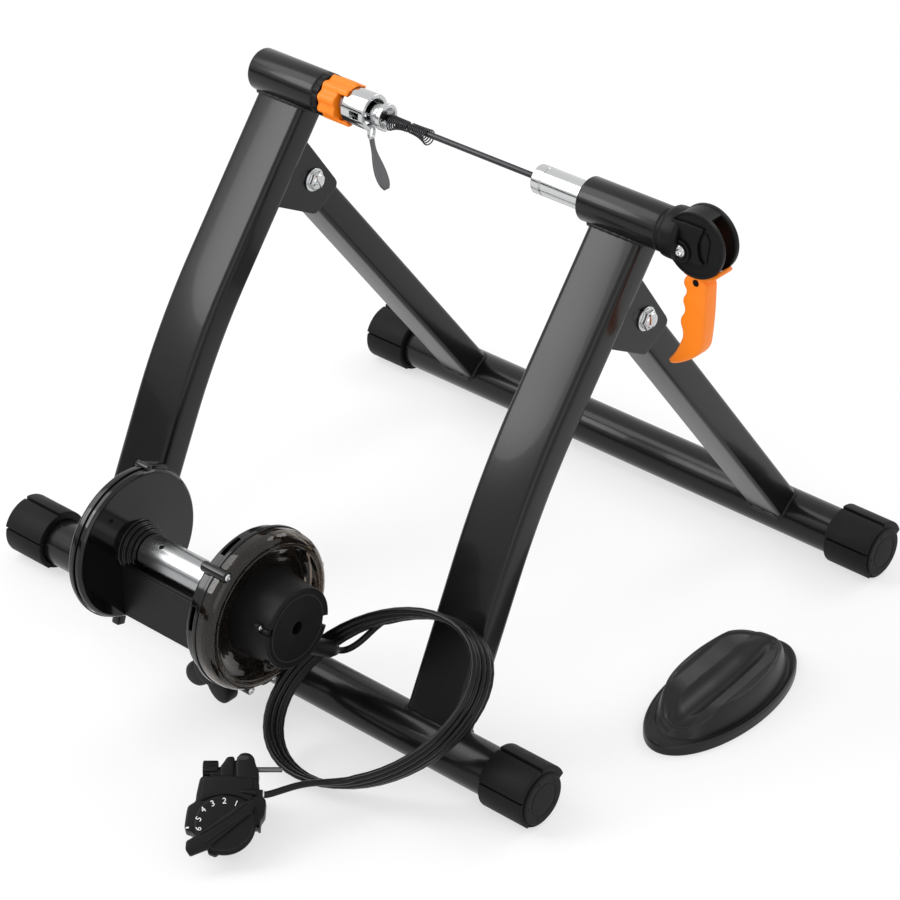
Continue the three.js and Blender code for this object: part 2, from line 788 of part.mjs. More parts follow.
// Skewer rod and its nut in the right-hand socket
const nutFrom = sleeveFace + nutInset;
const rodFrom = -headFace - headRecessDepth - rodSeat / 2;
add('skewer_rod', rodX(rodRadius, rodFrom, nutFrom + nutLength / 2 - seatGap, axleY, axleZ, 12), darkSteel);
const nutFloor = nutFrom + nutLength / 2;
const nutBore = rodRadius + seatGap;
const nutProfile = [[nutFrom, nutBore], [nutFrom, nutRadius], [nutFrom + nutLength, nutRadius * 0.7],
  [nutFrom + nutLength, 0], [nutFloor, 0], [nutFloor, nutBore], [nutFrom, nutBore]];
add('skewer_nut', turned(nutProfile, axleY, axleZ, small), darkSteel);

// Conical springs: each hangs on the rod and narrows towards the other
function conicalSpring(from, way) {
  const steps = springCurls * 8;
  const hug = rodRadius + springWire + seatGap;
  const points = Array.from({ length: steps + 1 }, (_, i) => {
    const share = i / steps;
    const radius = springBigRadius + (hug + springWire - springBigRadius) * share;
    const angle = share * springCurls * Math.PI * 2;
    const drop = radius - hug;
    const x = from + way * share * springCurls * springPitch;
    return new THREE.Vector3(x, axleY + radius * Math.sin(angle), axleZ - drop + radius * Math.cos(angle));
  });
  return points;
}

const springLength = springCurls * springPitch;
const firstSpring = conicalSpring(-springStart, 1);
const secondSpring = conicalSpring(-springStart + 2 * springLength + springBreak, -1);
add('skewer_spring_left', tubeThrough(firstSpring, springWire, 5), darkSteel);
add('skewer_spring_right', tubeThrough(secondSpring, springWire, 5), darkSteel);

// Right clamp: sleeve with its grooved cap and the socket for the skewer nut
const camZ = axleZ + camLift;
const sleeveEnd = camX - camBigRadius - seatGap;

function sleeve() {
  const groove = sleeveFace + sleeveCapLength;
  const profile = [[sleeveFace, socketRadius], [sleeveFace, sleeveRadius], [groove, sleeveRadius],
    [groove, sleeveRadius - sleeveGroove], [groove + sleeveGrooveWidth, sleeveRadius - sleeveGroove],
    [groove + sleeveGrooveWidth, sleeveRadius], [sleeveEnd, sleeveRadius], [sleeveEnd, 0],
    [sleeveFace + socketDepth, 0], [sleeveFace + socketDepth, socketRadius], [sleeveFace, socketRadius]];
  return turned(profile, axleY, axleZ);
}

// Cam housing: a neck that continues the barrel and two round cheeks joined by a curved wall
function camHousing() {
  const neckFrom = barrelRightEnd + seatGap;
  const [front, back] = [axleY - cheekSpan / 2, axleY + cheekSpan / 2];
  const [slotFront, slotBack] = [front + cheekThickness, back - cheekThickness];
  const neck = rodX(barrelRadius, neckFrom, camX - cheekRadius + neckReach, axleY, axleZ, medium);
  const round = rodY(cheekRadius, front, back, camX, camZ, fine);
  const slot = rodY(camBigRadius + runGap, slotFront, slotBack, camX, camZ, fine);
  const reach = cheekRadius + overrun;
  const mouth = plateY([[camX, camZ], [camX + reach / 2, camZ + reach], [camX + reach, camZ + reach],
    [camX + reach, camZ - reach], [camX - reach * 0.8, camZ - reach]], slotFront, slotBack);
  const bore = rodX(sleeveRadius + seatGap, neckFrom - overrun, camX, axleY, axleZ, medium);
  const passage = common(bore, block([neckFrom - overrun, slotFront, axleZ - barrelRadius],
    [camX, slotBack, axleZ + barrelRadius]));
  const travelEnd = sleeveEnd + camFall * camRange + runGap;
  const guide = common(bore, block([neckFrom - overrun, axleY - barrelRadius, axleZ - barrelRadius],
    [travelEnd, axleY + barrelRadius, axleZ + barrelRadius]));
  const pin = rodY(camPinRadius + seatGap, front - overrun, back + overrun, camX, camZ, small);
  return cut(join(neck, round), slot, mouth, passage, guide, pin);
}

// Handle: a spiral cam between the cheeks, a lip under them and a grip with finger grooves.
// The grip is set out below the lip: shares of its width across and of its length down
const gripShares = [[-0.43, 0.02], [-0.52, 0.128], [-0.41, 0.208], [-0.53, 0.302], [-0.44, 0.423],
  [-0.6, 0.53], [-0.49, 0.678], [-0.56, 0.785], [-0.79, 0.919], [-1.1, 1.027], [-0.94, 1.054],
  [-0.59, 1.02], [0.04, 0.906], [0.39, 0.799], [0.46, 0.664], [0.52, 0.396], [0.52, 0.222], [0.5, 0.007]];
const gripHole = { across: 0.05, down: 0.06, radius: 0.14 };

function camHandle() {
  const camThickness = cheekSpan - 2 * cheekThickness - 2 * seatGap;
  const spiral = Array.from({ length: camSteps }, (_, i) => {
    const turn = (i / camSteps) * Math.PI * 2;
    const radius = camBigRadius - camFall * Math.min(turn, camRange + camOverturn);
    return [camX - radius * Math.cos(turn), camZ + radius * Math.sin(turn)];
  });
  const [front, back] = [axleY - camThickness / 2, axleY + camThickness / 2];
  const cam = plateY(spiral, front, back, [[camX, camZ, camPinRadius + seatGap]]);
  const lipRadius = cheekRadius + runGap;
  const stem = block([camX - handleWidth / 2, front, camZ - lipRadius - handleLip],
    [camX + handleWidth / 2, back, camZ - camBigRadius / 2]);
  const [outerFront, outerBack] = [axleY - handleThickness / 2, axleY + handleThickness / 2];
  const [from, to] = lipShares.map((share) => share * Math.PI);
  const lipOutline = [...arcPoints(camX, camZ, lipRadius + handleLip, from, to, 8),
    ...arcPoints(camX, camZ, lipRadius, to, from, 8)];
  const lip = plateY(lipOutline, outerFront, outerBack);
  const gripLength = handleLength - lipRadius;
  const place = (across, down) => [camX + across * handleWidth, camZ - lipRadius - down * gripLength];
  const grip = plateY(gripShares.map(([across, down]) => place(across, down)), outerFront, outerBack);
  const holeEnd = outerFront + handleThickness / 3;
  const holePlace = place(gripHole.across, gripHole.down);
  const hole = rodY(handleWidth * gripHole.radius, outerFront - overrun, holeEnd, ...holePlace, small);
  return cut(join(cam, stem, lip, grip), hole);
}

add('right_sleeve', sleeve(), chrome);
add('cam_housing', camHousing(), plastic);
add('cam_handle', camHandle(), orange);
const pinReach = cheekSpan / 2;
add('cam_pin', rodY(camPinRadius, axleY - pinReach, axleY + pinReach, camX, camZ, small), steel);

function housingScrew() {
  const face = axleY - cheekSpan / 2 - seatGap;
  const [x, z] = [camX - cheekRadius * 0.4, camZ - cheekRadius * 0.25];
  const head = rodY(screwRadius, face - screwHeight, face, x, z, small);
  const socket = rodY(screwSocket, face - screwHeight - overrun, face - screwHeight / 2, x, z, 6);
  return cut(head, socket);
}
add('housing_screw', housingScrew(), chrome);

// Resistance unit: everything below is built about the roller axis
const unit = new THREE.Group();
unit.position.set(0, unitY, unitZ);
trainer.add(unit);

function leftCoverOuter() {
  const [back, wall, rim] = [leftCoverFace, coverWall, coverRadius];
  const face = rim - 2 * coverEdge;
  return turned([[back, 0], [back, face], [back + coverEdge, rim - coverEdge / 2], [back + 2 * coverEdge, rim],
    [leftCoverSeam, rim], [leftCoverSeam, rim - wall], [back + 2 * coverEdge, rim - wall],
    [back + wall, face - wall / 2], [back + wall, 0]], 0, 0, fine);
}

const bearingSeat = bearingRadius + seatGap;
const leftCollarEnd = rollerLeft - runGap;

// Inner half of the flywheel cover, with the stepped collar that holds the bearing
function leftCoverInnerShell() {
  const [inner, wall, rim] = [leftCoverInner, coverWall, coverRadius];
  const seam = leftCoverSeam + seatGap;
  const step = (leftCollarEnd - inner) / 3;
  const middle = collarRadius - collarStep;
  return turned([[seam, rim], [inner - coverEdge, rim], [inner, rim - coverEdge], [inner, collarRadius],
    [inner + step, collarRadius], [inner + step, middle], [inner + 2 * step, middle],
    [inner + 2 * step, middle - collarStep], [leftCollarEnd, middle - collarStep],
    [leftCollarEnd, bearingSeat],
    [inner - wall, bearingSeat], [inner - wall, rim - wall], [seam, rim - wall], [seam, rim]], 0, 0, fine);
}

// Black back cover of the brake side, with windows round its rim
function rightBackCover() {
  const [back, wall, rim] = [rightBackFace, coverWall, coverRadius];
  const [from, to] = [rollerRight + runGap, rollerRight + runGap + bearingWidth];
  const seat = bearingSeat + wall;
  const shell = turned([[from, bearingSeat], [from, seat], [back, seat], [back, rim - wall / 2],
    [back + wall / 2, rim], [rightSeam, rim], [rightSeam, rim - wall], [back + wall, rim - wall],
    [back + wall, seat], [to, seat], [to, bearingSeat], [from, bearingSeat]], 0, 0, fine);
  const half = rim / 6;
  const windows = Array.from({ length: 6 }, (_, i) => {
    const window = block([back + 1.5 * wall, -half, rim - 2 * wall],
      [rightSeam - wall, half, rim + overrun]);
    return window.rotateX(((i + 0.25) / 6) * Math.PI * 2);
  });
  return cut(shell, ...windows);
}

// Smoked cover over the brake disc: [depth, radius] shares of its rounded shoulder
const shoulderShares = [[0.62, 1], [0.78, 0.975], [0.92, 0.91], [1, 0.8]];

function rightCover() {
  const from = rightSeam + seatGap;
  const end = from + rightCoverDepth;
  const [wall, bore] = [coverWall, hubBaseRadius - coverWall];
  const shoulder = shoulderShares.map(([depth, radius]) => {
    return [from + depth * rightCoverDepth, radius * smokeRadius];
  });
  const inside = shoulder.map(([depth, radius]) => [depth - wall, radius - wall]);
  const start = [from, smokeRadius];
  return turned([start, ...shoulder, [end, bore], [end - wall, bore], ...inside.reverse(),
    [from, smokeRadius - wall], start], 0, 0, fine);
}

const hubBack = rightSeam + rightCoverDepth + 2 * seatGap;

// Matt hub boss over the magnet carrier, with the tapered cable outlet at its lower back
function hubBoss() {
  const [wall, base] = [hubWall, hubBaseRadius];
  const inside = [[hubFace - wall, hubRadius - wall], [hubBack, base - wall]];
  const profile = [inside[1], [hubBack, base], [hubFace - hubEdge, hubRadius],
    [hubFace, hubRadius - hubEdge], [hubFace, hubHole], [hubFace - wall, hubHole], ...inside];
  const hollow = turned([[hubBack - overrun, 0], [hubBack - overrun, base - wall],
    inside[0], [hubFace - wall, 0]], 0, 0, fine);
  const outlet = (outline) => {
    const turnedAlongY = turned(outline, 0, 0, small).rotateZ(Math.PI / 2);
    return turnedAlongY.translate(glandX, 0, -glandOffset).rotateX(glandAngle);
  };
  const [bore, end] = [cableRadius + seatGap, glandReach + overrun];
  const gland = outlet([[0, 0], [0, glandRadius], [glandReach - glandTaper, glandRadius],
    [glandReach, glandTip], [glandReach, 0]]);
  const shell = join(turned(profile, 0, 0, fine), cut(gland, hollow));
  return cut(shell, outlet([[0, 0], [0, bore], [end, bore], [end, 0]]));
}

const flywheelFrom = (leftCoverFace + leftCoverInner - flywheelWidth) / 2;
const eddyFrom = rollerRight + 2 * runGap + bearingWidth;
const magnetFrom = eddyFrom + eddyThickness + magnetHeight + runGap;

// The roller and its spindle, which carries the flywheel and the brake disc
function roller() {
  const [left, right, end] = [leftCoverFace + 2 * coverWall, eddyFrom + eddyThickness, rollerRight];
  const body = turned([[left, 0], [left, shaftRadius], [rollerLeft, shaftRadius], [rollerLeft, rollerRadius],
    [end, rollerRadius], [end, shaftRadius], [right, shaftRadius], [right, 0]], 0, 0, fine);
  const holeX = rollerLeft + rollerHoleInset;
  const hole = rodZ(rollerHole, rollerRadius - rollerHole, rollerRadius + overrun, holeX, 0, 10);
  return cut(body, hole.rotateX(rollerHoleTurn));
}

function magnetCarrier() {
  const [low, high] = [magnetFrom, magnetFrom + magnetPlate];
  const stem = magnetBore + coverWall;
  const end = hubFace - hubWall - seatGap;
  const carrier = turned([[low, magnetBore], [low, magnetRadius], [high, magnetRadius], [high, stem],
    [end, stem], [end, magnetBore], [low, magnetBore]], 0, 0, fine);
  const magnets = Array.from({ length: magnetCount }, (_, i) => {
    const magnet = rodX(magnetSize, low - magnetHeight, low + magnetPlate / 2, 0, 0, 10);
    return magnet.translate(0, 0, magnetRadius - 1.5 * magnetSize).rotateX((i / magnetCount) * Math.PI * 2);
  });
  return join(carrier, ...magnets);
}

add('left_cover_outer', leftCoverOuter(), gloss, unit);
add('left_cover_inner', leftCoverInnerShell(), gloss, unit);
add('right_back_cover', rightBackCover(), gloss, unit);
add('right_cover', rightCover(), smoke, unit);
add('hub_boss', hubBoss(), plastic, unit);
add('roller', roller(), steel, unit);
const spindleBore = shaftRadius + seatGap;
const disc = (radius, from, width, steps) => tubeX(radius, spindleBore, from, from + width, 0, 0, steps);
add('left_bearing', disc(bearingRadius, leftCollarEnd - bearingWidth, bearingWidth, small), steel, unit);
add('right_bearing', disc(bearingRadius, rollerRight + runGap, bearingWidth, small), steel, unit);
add('flywheel', disc(flywheelRadius, flywheelFrom, flywheelWidth, fine), steel, unit);
add('eddy_disc', disc(eddyRadius, eddyFrom, eddyThickness, fine), steel, unit);
add('magnet_carrier', magnetCarrier(), darkSteel, unit);

// Moulded beam under the roller that ties the two covers together
function unitBeam() {
  const [front, back, bottom, top] = [-beamFront, beamBack, -beamDepth, -beamTop];
  const outline = [[front, bottom], [back, bottom], [back, top], [front + beamWall, top],
    [front + beamWall, top + beamLip], [front, top + beamLip]];
  const [from, to] = [leftCoverInner + seatGap, rightBackFace - seatGap];
  const hollow = block([from + beamWall, front + beamWall, bottom - overrun],
    [to - beamWall, back - beamWall, top - beamWall]);
  const collar = rodX(collarRadius + seatGap, from - overrun, leftCollarEnd + seatGap);
  return cut(plateX(outline, from, to), hollow, collar);
}
add('unit_beam', unitBeam(), plastic, unit);

// Tilt arm: two cheeks inside the bracket, tied by a web that the tension knob pushes
function tiltArm() {
  const [front, back] = [unitY - beamFront + beamWall + seatGap, unitY + beamBack - beamWall - seatGap];
  const top = unitZ - beamTop - beamWall - seatGap;
  const [webLow, webHigh] = [tensionZ - 3 * tensionRadius, tensionZ + 3 * tensionRadius];
  const foot = tiltPinRadius * 2;
  const shoulder = unitZ - beamDepth + 2 * beamWall;
  const outline = [...arcPoints(tiltY, tiltZ, foot, Math.PI * 0.15, -Math.PI * 0.75, 5),
    [armWebY, webLow], [armWebY, shoulder], [front, shoulder + beamWall], [front, top], [back, top],
    [back, unitZ - beamDepth - seatGap]];
  const hole = [[tiltY, tiltZ, tiltPinRadius + seatGap]];
  const half = armInside / 2;
  const left = plateX(outline, armX - half - plateThickness, armX - half, hole, 5);
  const right = plateX(outline, armX + half, armX + half + plateThickness, hole, 5);
  const [from, to] = [armX - half - overrun, armX + half + overrun];
  const web = block([from, armWebY, webLow], [to, armWebY + plateThickness, webHigh]);
  const bridge = block([from, front, top - plateThickness], [to, back, top]);
  const slotHalf = tensionRadius + runGap;
  const slot = block([armX - slotHalf, armWebY - overrun, tensionZ - 2.5 * tensionRadius],
    [armX + slotHalf, armWebY + plateThickness + overrun, tensionZ + slotHalf]);
  return cut(join(left, right, web, bridge), slot);
}

// Steel bracket welded to the rear bar
function tiltBracket() {
  const foot = tiltPinRadius * 2;
  const outer = armInside / 2 + plateThickness + seatGap;
  const webTop = tensionZ + 3 * tensionRadius;
  const outline = [...arcPoints(tiltY, tiltZ, foot, -Math.PI * 0.5, -Math.PI * 1.25, 6),
    [-bracketInset, webTop], [-bracketInset + plateThickness, webTop], [0, barZ + barRadius + plateThickness],
    [0, barZ], [-barRadius / 2, tiltZ - foot]];
  const hole = [[tiltY, tiltZ, tiltPinRadius + seatGap]];
  const left = plateX(outline, armX - outer - plateThickness, armX - outer, hole, 5);
  const right = plateX(outline, armX + outer, armX + outer + plateThickness, hole, 5);
  const webLow = barZ + barRadius * 0.6;
  const web = block([armX - outer - overrun, -bracketInset, webLow],
    [armX + outer + overrun, -bracketInset + plateThickness, webTop]);
  const bar = rodX(barRadius + seatGap, armX - 2 * outer, armX + 2 * outer, 0, barZ, fine);
  const bolt = rodY(tensionRadius + seatGap, -bracketInset - overrun, barRadius, armX, tensionZ, small);
  const nutFrom = -bracketInset + plateThickness;
  const nut = rodY(weldNutRadius, nutFrom - seatGap, nutFrom + weldNutLength, armX, tensionZ, 6);
  return cut(join(left, right, web, nut), bar, bolt);
}

// Knob with four round lobes that draws the roller against the tyre
function tensionKnob() {
  const [front, back] = [armWebY - seatGap - knobThickness, armWebY - seatGap];
  const lobes = Array.from({ length: 4 }, (_, i) => {
    const angle = knobTurn + (i + 0.5) * (Math.PI / 2);
    const [across, up] = [knobReach * Math.cos(angle), knobReach * Math.sin(angle)];
    const arm = block([0, front, -knobLobe * 0.8], [knobReach, back, knobLobe * 0.8]).rotateY(-angle);
    const lobe = rodY(knobLobe, front, back, armX + across, tensionZ + up, small);
    return join(arm.translate(armX, 0, tensionZ), lobe);
  });
  const bore = rodY(tensionRadius + seatGap, front - overrun, back + overrun, armX, tensionZ, small);
  return cut(join(rodY(knobHub, front - knobStep, back, armX, tensionZ, small), ...lobes), bore);
}

function tensionBolt() {
  const end = -bracketInset + plateThickness + weldNutLength + tensionOver;
  return rodY(tensionRadius, armWebY - knobThickness - knobStep, end, armX, tensionZ, small);
}

function tensionSpring() {
  const from = armWebY + plateThickness + seatGap + tensionWire;
  const to = -bracketInset - seatGap - tensionWire;
  const steps = tensionCurls * 8;
  return Array.from({ length: steps + 1 }, (_, i) => {
    const angle = (i / 8) * Math.PI * 2;
    const y = from + ((to - from) * i) / steps;
    const [across, up] = [Math.sin(angle), Math.cos(angle)].map((share) => share * tensionSpringRadius);
    return new THREE.Vector3(armX + across, y, tensionZ + up);
  });
}

add('tilt_arm', tiltArm(), paint);
add('tilt_bracket', tiltBracket(), paint);
const pinHalf = armInside / 2 + 2 * plateThickness + seatGap;
add('tilt_pin', rodX(tiltPinRadius, armX - pinHalf, armX + pinHalf, tiltY, tiltZ, small), steel);
add('tension_knob', tensionKnob(), plastic);
add('tension_bolt', tensionBolt(), steel);
add('tension_spring', tubeThrough(tensionSpring(), tensionWire, 5), darkSteel);

// Remote shifter: built flat, with its dial facing +Z, then leaned back onto its clamp
const remote = new THREE.Group();
const drumTop = -dialThickness / 2 - seatGap;
const drumBack = drumTop - drumDepth;
const neckBack = drumTop - neckDepth;
const dialLift = drumTip * Math.cos(remoteLean) - drumBack * Math.sin(remoteLean);
remote.position.set(dialX, dialY, dialLift);
remote.rotation.set(Math.PI / 2 - remoteLean, 0, remoteTurn, 'ZYX');
trainer.add(remote);

// Shares of the neck's length: its two stepped sides, and each ear seen from the front
const neckShares = [[0.62, -0.02], [0.68, -0.05], [0.69, 0.1], [0.77, 0.22], [0.78, 0.52], [0.72, 0.57],
  [0.65, 0.73], [0.62, 1], [-0.46, 1], [-0.51, 0.95], [-0.57, 0.64], [-0.58, 0.49], [-0.73, 0.39],
  [-0.78, -0.04], [-0.75, -0.1], [-0.65, -0.12], [-0.55, -0.21], [0, -0.1]];
const leftEarShares = [[0, 0], [1, 0], [1, 0.95], [0.55, 0.95], [0.3, 0.66], [0.1, 0.5]];
const rightEarShares = [[0, 0], [1, 0], [1, 0.31], [0.79, 0.5], [0.68, 1], [0.41, 1.08], [0, 0.95]];

function remoteHousing() {
  const drum = turned([[drumBack, 0], [drumBack, drumTip], [drumTop, drumRadius], [drumTop, 0]], 0, 0, fine);
  const neck = plateZ(neckShares.map((pair) => pair.map((share) => share * neckLength)), neckBack, drumTop);
  const boreZ = drumTop - inletRadius;
  const [inletEnd, boreFrom] = [inletFrom + inletLength, inletFrom + inletLength / 2];
  const inlet = rodX(inletRadius, inletFrom, inletEnd, inletSetback, boreZ, small);
  const bore = rodX(cableRadius + seatGap, boreFrom, inletEnd + inletRadius, inletSetback, boreZ, 12);
  const earFoot = neckLength - overrun;
  const ear = (shares, from, width) => {
    const outline = shares.map(([across, up]) => [from + across * width, earFoot + up * earLength]);
    return plateZ(outline, neckBack, drumTop);
  };
  const left = ear(leftEarShares, earSplit - earGap / 2 - earLeftWidth, earLeftWidth);
  const right = ear(rightEarShares, earSplit + earGap / 2, earRightWidth);
  const screwHole = rodX(screwRodRadius + seatGap, -neckLength, neckLength, screwSetback,
    drumTop - screwDrop, small);
  return cut(join(drum.rotateY(-Math.PI / 2), neck, inlet, left, right), bore, screwHole);
}

function remoteClamp() {
  const [from, to] = [clampSetback, clampSetback + clampLength];
  const z = neckBack - clampRadius - seatGap;
  const bore = rodY(clampBore, from - overrun, to + overrun, clampX, z, medium);
  return cut(rodY(clampRadius, from, to, clampX, z, medium), bore);
}

// Shares of the dial's radius: the finger bar seen from the front
const barShares = [[-1.22, -0.68], [-1.23, -0.98], [-1.08, -1.19], [-0.52, -0.95], [0.84, 0.31],
  [1.04, 0.74], [0.61, 0.68], [-0.78, -0.4]];

function remoteDial() {
  const face = dialThickness / 2;
  const disc = rodZ(dialRadius, -face, face, 0, 0, fine);
  const outline = barShares.map((pair) => pair.map((share) => share * dialRadius));
  const bar = plateZ(outline, face - seatGap, face + leverBarHeight);
  const fan = arcPoints(0, 0, dialRadius * 0.97, -Math.PI, 0, 12);
  const grip = plateZ(fan, face - seatGap, face + leverBarHeight / 2).rotateZ(dialGripTurn);
  return join(disc, bar, grip);
}

function remoteScrew() {
  const from = earSplit - earGap / 2 - earLeftWidth - seatGap;
  const z = drumTop - screwDrop;
  const ribs = Array.from({ length: screwKnobRibs * 2 }, (_, i) => {
    const radius = screwKnobRadius - (i % 2) * ringFlute;
    const angle = (i / screwKnobRibs) * Math.PI;
    return [screwSetback + radius * Math.cos(angle), z + radius * Math.sin(angle)];
  });
  const knob = plateX(ribs, from - screwKnobLength, from);
  return join(knob, rodX(screwRodRadius, from - overrun, from + screwRodReach, screwSetback, z, small));
}

add('remote_housing', remoteHousing(), plastic, remote);
add('remote_clamp', remoteClamp(), plastic, remote);
add('remote_dial', remoteDial(), plastic, remote);
add('remote_screw', remoteScrew(), plastic, remote);

// Cable: out of the hub boss, round its loops, which lean on the right upright, and into the remote
function coilRoute() {
  const turns = (coilStart - coilEnd) / (Math.PI * 2) + coilExtraTurns;
  const steps = Math.round(turns * 24);
  const up = new THREE.Vector3(0, Math.cos(coilLean), Math.sin(coilLean));
  const out = new THREE.Vector3(0, -Math.sin(coilLean), Math.cos(coilLean));
  const points = Array.from({ length: steps + 1 }, (_, i) => {
    const turned = (i / steps) * turns;
    const angle = coilStart - turned * Math.PI * 2;
    const sway = coilSway * Math.sin(turned * Math.PI * 0.8) ** 2;
    const across = (coilHalfWidth - sway) * Math.cos(angle) + coilSlant * Math.sin(angle);
    const point = new THREE.Vector3(coilX + across, coilY, 0);
    point.addScaledVector(up, (coilHalfHeight - sway) * Math.sin(angle));
    return point.addScaledVector(out, turned * coilPitch);
  });
  const rise = cableRadius + coilLift - Math.min(...points.map((point) => point.z));
  return points.map((point) => point.setZ(point.z + rise));
}

// The two free stretches, point by point
const leadInRoute = [[92, -22.3, 80.3], [92.1, -18.2, 77.6], [92.9, -13.3, 75.8], [94.6, -8, 76.1],
  [96.7, -2.6, 78.4],
  [98.9, 2.2, 81.9], [101.2, 6.4, 86], [103.9, 9.8, 90.1], [107.1, 12.3, 93.8], [111.2, 13.9, 95.7]];
const leadOutRoute = [[161.7, -78.6, 30.2], [157.8, -80.7, 27.9], [152.5, -84.5, 25.4], [147.8, -90, 23.8],
  [144.8, -97, 23.6], [143, -105, 24.6], [141.8, -113, 26.7], [140.3, -121, 29.5], [137.3, -129, 32.2],
  [133.6, -135.8, 33.8], [129.6, -139.4, 34.1]];

// A plain tube along a route, square to its ends
function leadTube(route) {
  const curve = new THREE.CatmullRomCurve3(route.map((point) => new THREE.Vector3(...point)));
  const round = ringShape(arcPoints(0, 0, cableRadius, 0, Math.PI * 2, leadSides).slice(0, -1));
  const steps = Math.round(curve.getLength() / (leadStep * cableRadius));
  return new THREE.ExtrudeGeometry(round, { steps, extrudePath: curve });
}

const coilPoints = coilRoute();
add('cable_coil', tubeThrough(coilPoints, cableRadius, 6), rubber);
add('cable_lead_in', leadTube(leadInRoute), rubber);
add('cable_lead_out', leadTube(leadOutRoute), rubber);

const springGap = leastSelfGap(firstSpring, 8, 2 * springWire);
const tensionGap = leastSelfGap(tensionSpring(), 8, 2 * tensionWire);
const coilGap = leastSelfGap(coilPoints, 24, 2 * cableRadius);
const gaps = { cable: coilGap, skewerSpring: springGap, tensionSpring: tensionGap };
Object.entries(gaps).forEach(([name, gap]) => console.log(`least gap, ${name}: ${gap.toFixed(2)} mm`));

// Riser block: an oval flange, a body with a crest near each end, and the groove for the tyre
const crestShares = [[0, 0.79], [0.15, 0.8], [0.3, 0.87], [0.42, 0.97], [0.5, 1], [0.58, 0.97],
  [0.65, 0.81], [0.72, 0.45], [0.84, 0.28]];

function riserBlock() {
  const oval = (share) => arcPoints(0, 0, share, 0, Math.PI * 2, riserSteps).slice(0, -1).map(([u, v]) => {
    return [u * riserHalfWidth, v * riserHalfLength];
  });
  const flange = plateZ(oval(1), 0, riserFlange);
  const body = plateZ(oval(riserBodyShare), riserFlange / 2, riserHeight);
  const ahead = crestShares.map(([y, height]) => [y * riserHalfLength, height * riserHeight]);
  const behindMiddle = ahead.slice(1).reverse().map(([y, z]) => [-y, z]);
  const base = [[riserHalfLength, ahead.at(-1)[1]], [riserHalfLength, 0], [-riserHalfLength, 0],
    [-riserHalfLength, ahead.at(-1)[1]]];
  const crest = plateX([...behindMiddle, ...ahead, ...base], -riserHalfWidth, riserHalfWidth);
  const axisZ = grooveFloor + grooveRadius;
  const reach = riserHalfLength + overrun;
  const groove = rodY(grooveRadius, -reach, reach, 0, axisZ, medium);
  const above = block([-grooveRadius, -reach, axisZ], [grooveRadius, reach, riserHeight + grooveRadius]);
  return cut(join(flange, common(body, crest)), groove, above);
}

const riser = riserBlock().rotateZ(riserTurn).translate(riserX, riserY, 0);
add('riser_block', riser, plastic);

// The origin is the middle of the part's footprint, on the floor, without the loose cable
const box = new THREE.Box3();
trainer.updateMatrixWorld(true);
trainer.traverse((child) => {
  if (child.isMesh && !child.name.startsWith('cable')) box.expandByObject(child, true);
});
trainer.position.set(-(box.min.x + box.max.x) / 2, -(box.min.y + box.max.y) / 2, -box.min.z);

export default trainer;
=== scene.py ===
"""A folding wheel-on cycle trainer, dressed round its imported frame.

The frame gives each piece's place and body. The classes below build the finer meshes that stand for
the plain solids, and give every surface its finish. Lengths are metres, X runs along the axle, Y from
the resistance unit to the folding front bar, and Z is up.
"""

from __future__ import annotations

import json
import logging
from dataclasses import dataclass, field
from enum import Enum
from math import atan2, cos, hypot, pi, radians, sin, sqrt, tan
from math import atan2, cos, hypot, pi, radians, sin, sqrt, tan
from typing import Callable, Iterable, Sequence

import bmesh
import bpy
from mathutils import Matrix, Vector

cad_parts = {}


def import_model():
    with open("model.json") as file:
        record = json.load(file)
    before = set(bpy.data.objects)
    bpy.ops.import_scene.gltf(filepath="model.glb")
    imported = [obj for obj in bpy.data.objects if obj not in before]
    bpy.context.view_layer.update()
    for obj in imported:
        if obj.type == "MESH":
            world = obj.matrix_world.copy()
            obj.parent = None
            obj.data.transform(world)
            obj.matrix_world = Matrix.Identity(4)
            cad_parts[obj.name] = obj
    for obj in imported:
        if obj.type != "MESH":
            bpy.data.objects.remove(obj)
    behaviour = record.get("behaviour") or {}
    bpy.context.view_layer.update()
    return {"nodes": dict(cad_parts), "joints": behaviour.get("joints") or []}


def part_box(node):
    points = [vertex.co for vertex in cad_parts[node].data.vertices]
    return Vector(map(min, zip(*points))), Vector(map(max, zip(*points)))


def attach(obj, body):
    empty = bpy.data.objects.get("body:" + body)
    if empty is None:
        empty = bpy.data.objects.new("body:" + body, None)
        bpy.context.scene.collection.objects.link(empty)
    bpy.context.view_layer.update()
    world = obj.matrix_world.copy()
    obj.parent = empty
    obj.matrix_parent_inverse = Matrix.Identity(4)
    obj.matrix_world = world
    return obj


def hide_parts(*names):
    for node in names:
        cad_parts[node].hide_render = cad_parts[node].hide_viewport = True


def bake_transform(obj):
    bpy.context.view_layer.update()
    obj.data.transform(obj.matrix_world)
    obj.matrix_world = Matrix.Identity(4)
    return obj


LOG = logging.getLogger("trainer")

Pair = tuple[float, float]
Triple = tuple[float, float, float]
Line = Sequence[Pair]
Triple = tuple[float, float, float]
Line = Sequence[Pair]
Piece = bpy.types.Object
RadiusRule = Callable[[float, float, float], float]

TURN = 2 * pi
FINE = 96
MEDIUM = 48
SMALL = 24
HIDDEN_STEP = 0.0003


class Slot(Enum):
    """The record's material slots."""

    PAINT = "paint"
    RUBBER = "rubber"
    PLASTIC = "plastic"
    GLOSS = "gloss"
    SMOKE = "smoke"
    ORANGE = "orange"
    CHROME = "chrome"
    STEEL = "steel"
    DARK_STEEL = "dark_steel"


class Plane(Enum):
    """Which way a plate's thickness runs, and what its two outline values mean."""

    X = "outline is (y, z)"
    Y = "outline is (x, z)"
    Z = "outline is (x, y)"


# Plain geometry


